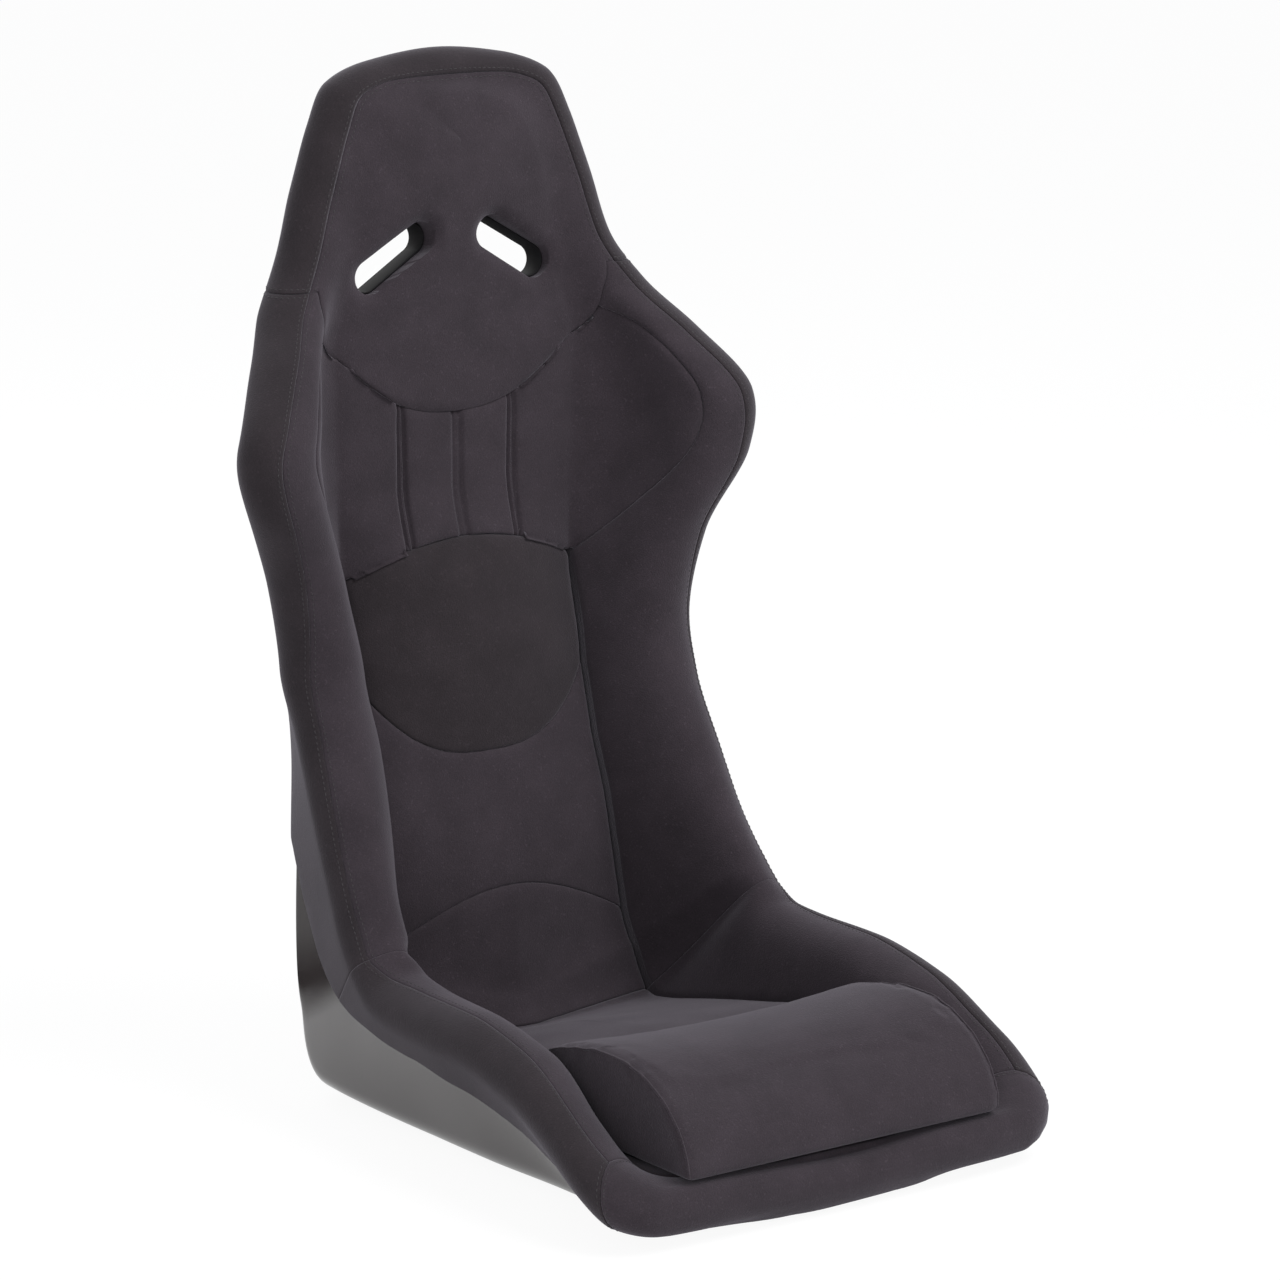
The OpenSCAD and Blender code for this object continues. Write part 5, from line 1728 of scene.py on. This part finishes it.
# ---------------------------------------------------------------- stage
# name, place and size in metres, watts
LIGHTS = (("Key", (1.2, -1.8, 3.6), 2.6, 125), ("Fill", (-2.9, -3.0, 1.9), 2.4, 50),
          ("Back", (0.4, 3.0, 2.8), 2.4, 30))
LIGHTS_AIM = (0, 0, 0.45)
SKY = 0.55                  # strength of the soft light from all round
FLOOR_GLOW = 1.03           # strength of the floor's own white
FLOOR_SEEN = 0.9            # share of it that the camera sees
FLOOR_MIRRORED = 0.42       # share of it that a gloss mirrors
# the flag, a dark sheet that only glossy rays see, paints a dark reflected band on the shell; it
# thickens from its near edge, thins again, and ends; all in metres
FLAG_EDGES = (0.44, 0.58, 0.72, 3.0)
FLAG_W = 2.4
FLAG_THIN = 0.8
CAMERA_AT = (-2.6572, -3.68196, 1.44954)
CAMERA_TURN = (-36, 12.507)         # azimuth and height, in degrees
CAMERA_FOCUS = 5220.46 / 1280       # focal length in picture widths
SENSOR = 36


class SEAT_OT_stage(bpy.types.Operator):
    """Sets the pale floor, a black flag that paints a dark reflection on the shell, soft lights
    and the camera
    """
    bl_idname = "seat.stage"
    bl_label = "Stage"

    def execute(self, context):
        scene = context.scene
        scene.view_settings.view_transform = "Standard"
        self.floor()
        self.flag()
        self.world(scene)
        for light in LIGHTS:
            area(*light)
        self.camera(scene)
        return {"FINISHED"}

    def floor(self):
        deselect()
        bpy.ops.mesh.primitive_circle_add(vertices=96, radius=40, fill_type="NGON")
        obj = bpy.context.object
        obj.name = "studio_floor"
        obj.data.transform(obj.matrix_world)
        obj.matrix_world = Matrix.Identity(4)
        mat, tree, _ = new_material("Painted studio floor")
        paint(obj, mat)
        path = add(tree, "ShaderNodeLightPath")
        matt = add(tree, "ShaderNodeBsdfDiffuse", Color=linear(colours().floor))
        glow = add(tree, "ShaderNodeEmission", Strength=FLOOR_GLOW, Color=(1, 1, 1, 1))
        mirrored = add(tree, "ShaderNodeMath", {0: path.outputs["Is Glossy Ray"]},
                       operation="MULTIPLY")
        mirrored.inputs[1].default_value = FLOOR_MIRRORED
        share = add(tree, "ShaderNodeMath", {0: path.outputs["Is Camera Ray"],
                                             2: mirrored.outputs[0]},
                    operation="MULTIPLY_ADD")
        share.inputs[1].default_value = FLOOR_SEEN
        mixed = add(tree, "ShaderNodeMixShader", {0: share.outputs[0], 1: matt.outputs[0],
                                                  2: glow.outputs[0]})
        finish_material(tree, mixed)

    def flag(self):
        """A black sheet laid behind the seat, which only the glossy shell sees: a painted dark
        reflection, hidden from the camera, from diffuse light and from shadows.
        """
        deselect()
        bpy.ops.mesh.primitive_plane_add(size=1)
        obj = bpy.context.object
        obj.name = "dark_reflection_flag"
        near, full, thin, far = FLAG_EDGES
        obj.data.transform(Matrix.Diagonal((FLAG_W, far - near, 1, 1)))
        obj.data.transform(Matrix.Translation((0, (near + far) / 2, 0.001)))
        mat, tree, coord = new_material("Black flag for painted reflection")
        paint(obj, mat)
        cloth = add(tree, "ShaderNodeBsdfDiffuse", Color=(0.01, 0.01, 0.01, 1))
        clear = add(tree, "ShaderNodeBsdfTransparent")
        spot = add(tree, "ShaderNodeSeparateXYZ", {0: coord})
        rise = add(tree, "ShaderNodeMapRange", {"Value": spot.outputs["Y"]},
                   From_Min=near, From_Max=full, To_Min=0.0, To_Max=1.0)
        fall = add(tree, "ShaderNodeMapRange", {"Value": spot.outputs["Y"]},
                   From_Min=thin - 0.1, From_Max=thin + 0.1, To_Min=1.0, To_Max=FLAG_THIN)
        thick = add(tree, "ShaderNodeMath", {0: rise.outputs[0], 1: fall.outputs[0]},
                    operation="MULTIPLY")
        mixed = add(tree, "ShaderNodeMixShader", {0: thick.outputs[0], 1: clear.outputs[0],
                                                  2: cloth.outputs[0]})
        finish_material(tree, mixed)
        # seen by glossy rays alone, the flag paints a dark reflection on the shell and casts no
        # shade
        obj.visible_camera = obj.visible_diffuse = obj.visible_shadow = False

    def world(self, scene):
        world = bpy.data.worlds.new("Studio")
        scene.world = world
        world.use_nodes = True
        tree = world.node_tree
        tree.nodes.clear()
        path = add(tree, "ShaderNodeLightPath")
        soft = add(tree, "ShaderNodeBackground", Strength=SKY, Color=(0.96, 0.97, 1.0, 1))
        white = add(tree, "ShaderNodeBackground", Strength=1.0, Color=(1, 1, 1, 1))
        seen = add(tree, "ShaderNodeMath", {0: path.outputs["Is Camera Ray"],
                                            1: path.outputs["Is Glossy Ray"]},
                   operation="MAXIMUM")
        through = add(tree, "ShaderNodeMath", {0: seen.outputs[0],
                                               1: path.outputs["Is Transmission Ray"]},
                      operation="MAXIMUM")
        mixed = add(tree, "ShaderNodeMixShader", {0: through.outputs[0], 1: soft.outputs[0],
                                                  2: white.outputs[0]})
        add(tree, "ShaderNodeOutputWorld", {"Surface": mixed.outputs[0]})

    def camera(self, scene):
        data = bpy.data.cameras.new("Camera")
        data.sensor_width = SENSOR
        data.lens = CAMERA_FOCUS * SENSOR
        data.clip_end = 200
        cam = bpy.data.objects.new("Camera", data)
        azimuth, height = map(math.radians, CAMERA_TURN)
        back = Vector((math.sin(azimuth) * math.cos(height),
                       -math.cos(azimuth) * math.cos(height), math.sin(height)))
        right = Vector((math.cos(azimuth), math.sin(azimuth), 0))
        up = back.cross(right)
        turn = Matrix((right, up, back)).transposed().to_4x4()
        cam.matrix_world = Matrix.Translation(CAMERA_AT) @ turn
        scene.collection.objects.link(cam)
        scene.camera = cam


def area(name, at, size, watts):
    """A round lamp, aimed at the seat."""
    data = bpy.data.lights.new(name, "AREA")
    data.shape, data.size, data.energy = "DISK", size, watts
    obj = bpy.data.objects.new(name, data)
    obj.location = at
    aim = Vector(LIGHTS_AIM) - Vector(at)
    obj.rotation_euler = aim.to_track_quat("-Z", "Y").to_euler()
    bpy.context.scene.collection.objects.link(obj)


# ---------------------------------------------------------------- panel and main
STEPS = (SEAT_OT_shell, SEAT_OT_liners, SEAT_OT_back_pads, SEAT_OT_head_pad,
         SEAT_OT_seat_pads, SEAT_OT_bolsters, SEAT_OT_wraps, SEAT_OT_thigh_cushion,
         SEAT_OT_fittings, SEAT_OT_stitching, SEAT_OT_stage)


class SEAT_PT_panel(bpy.types.Panel):
    """Lists the seat's settings, colours and making steps"""
    bl_idname = "SEAT_PT_panel"
    bl_label = "Bucket Seat"
    bl_space_type = "VIEW_3D"
    bl_region_type = "UI"
    bl_category = "Seat"

    def draw(self, context):
        for group in (context.scene.seat_settings, context.scene.seat_colours):
            box = self.layout.box()
            for key in group.bl_rna.properties.keys():
                if key not in ("rna_type", "name"):
                    box.prop(group, key)
        for step in STEPS:
            self.layout.operator(step.bl_idname)


CLASSES = (SeatSettings, SeatColours) + STEPS + (SEAT_PT_panel,)


def register():
    for c in CLASSES:
        bpy.utils.register_class(c)
    bpy.types.Scene.seat_settings = bpy.props.PointerProperty(type=SeatSettings)
    bpy.types.Scene.seat_colours = bpy.props.PointerProperty(type=SeatColours)


def unregister():
    del bpy.types.Scene.seat_colours
    del bpy.types.Scene.seat_settings
    for c in reversed(CLASSES):
        bpy.utils.unregister_class(c)


def main():
    register()
    for step in STEPS:
        group, name = step.bl_idname.split(".")
        getattr(getattr(bpy.ops, group), name)()


if __name__ == "__main__":
    main()
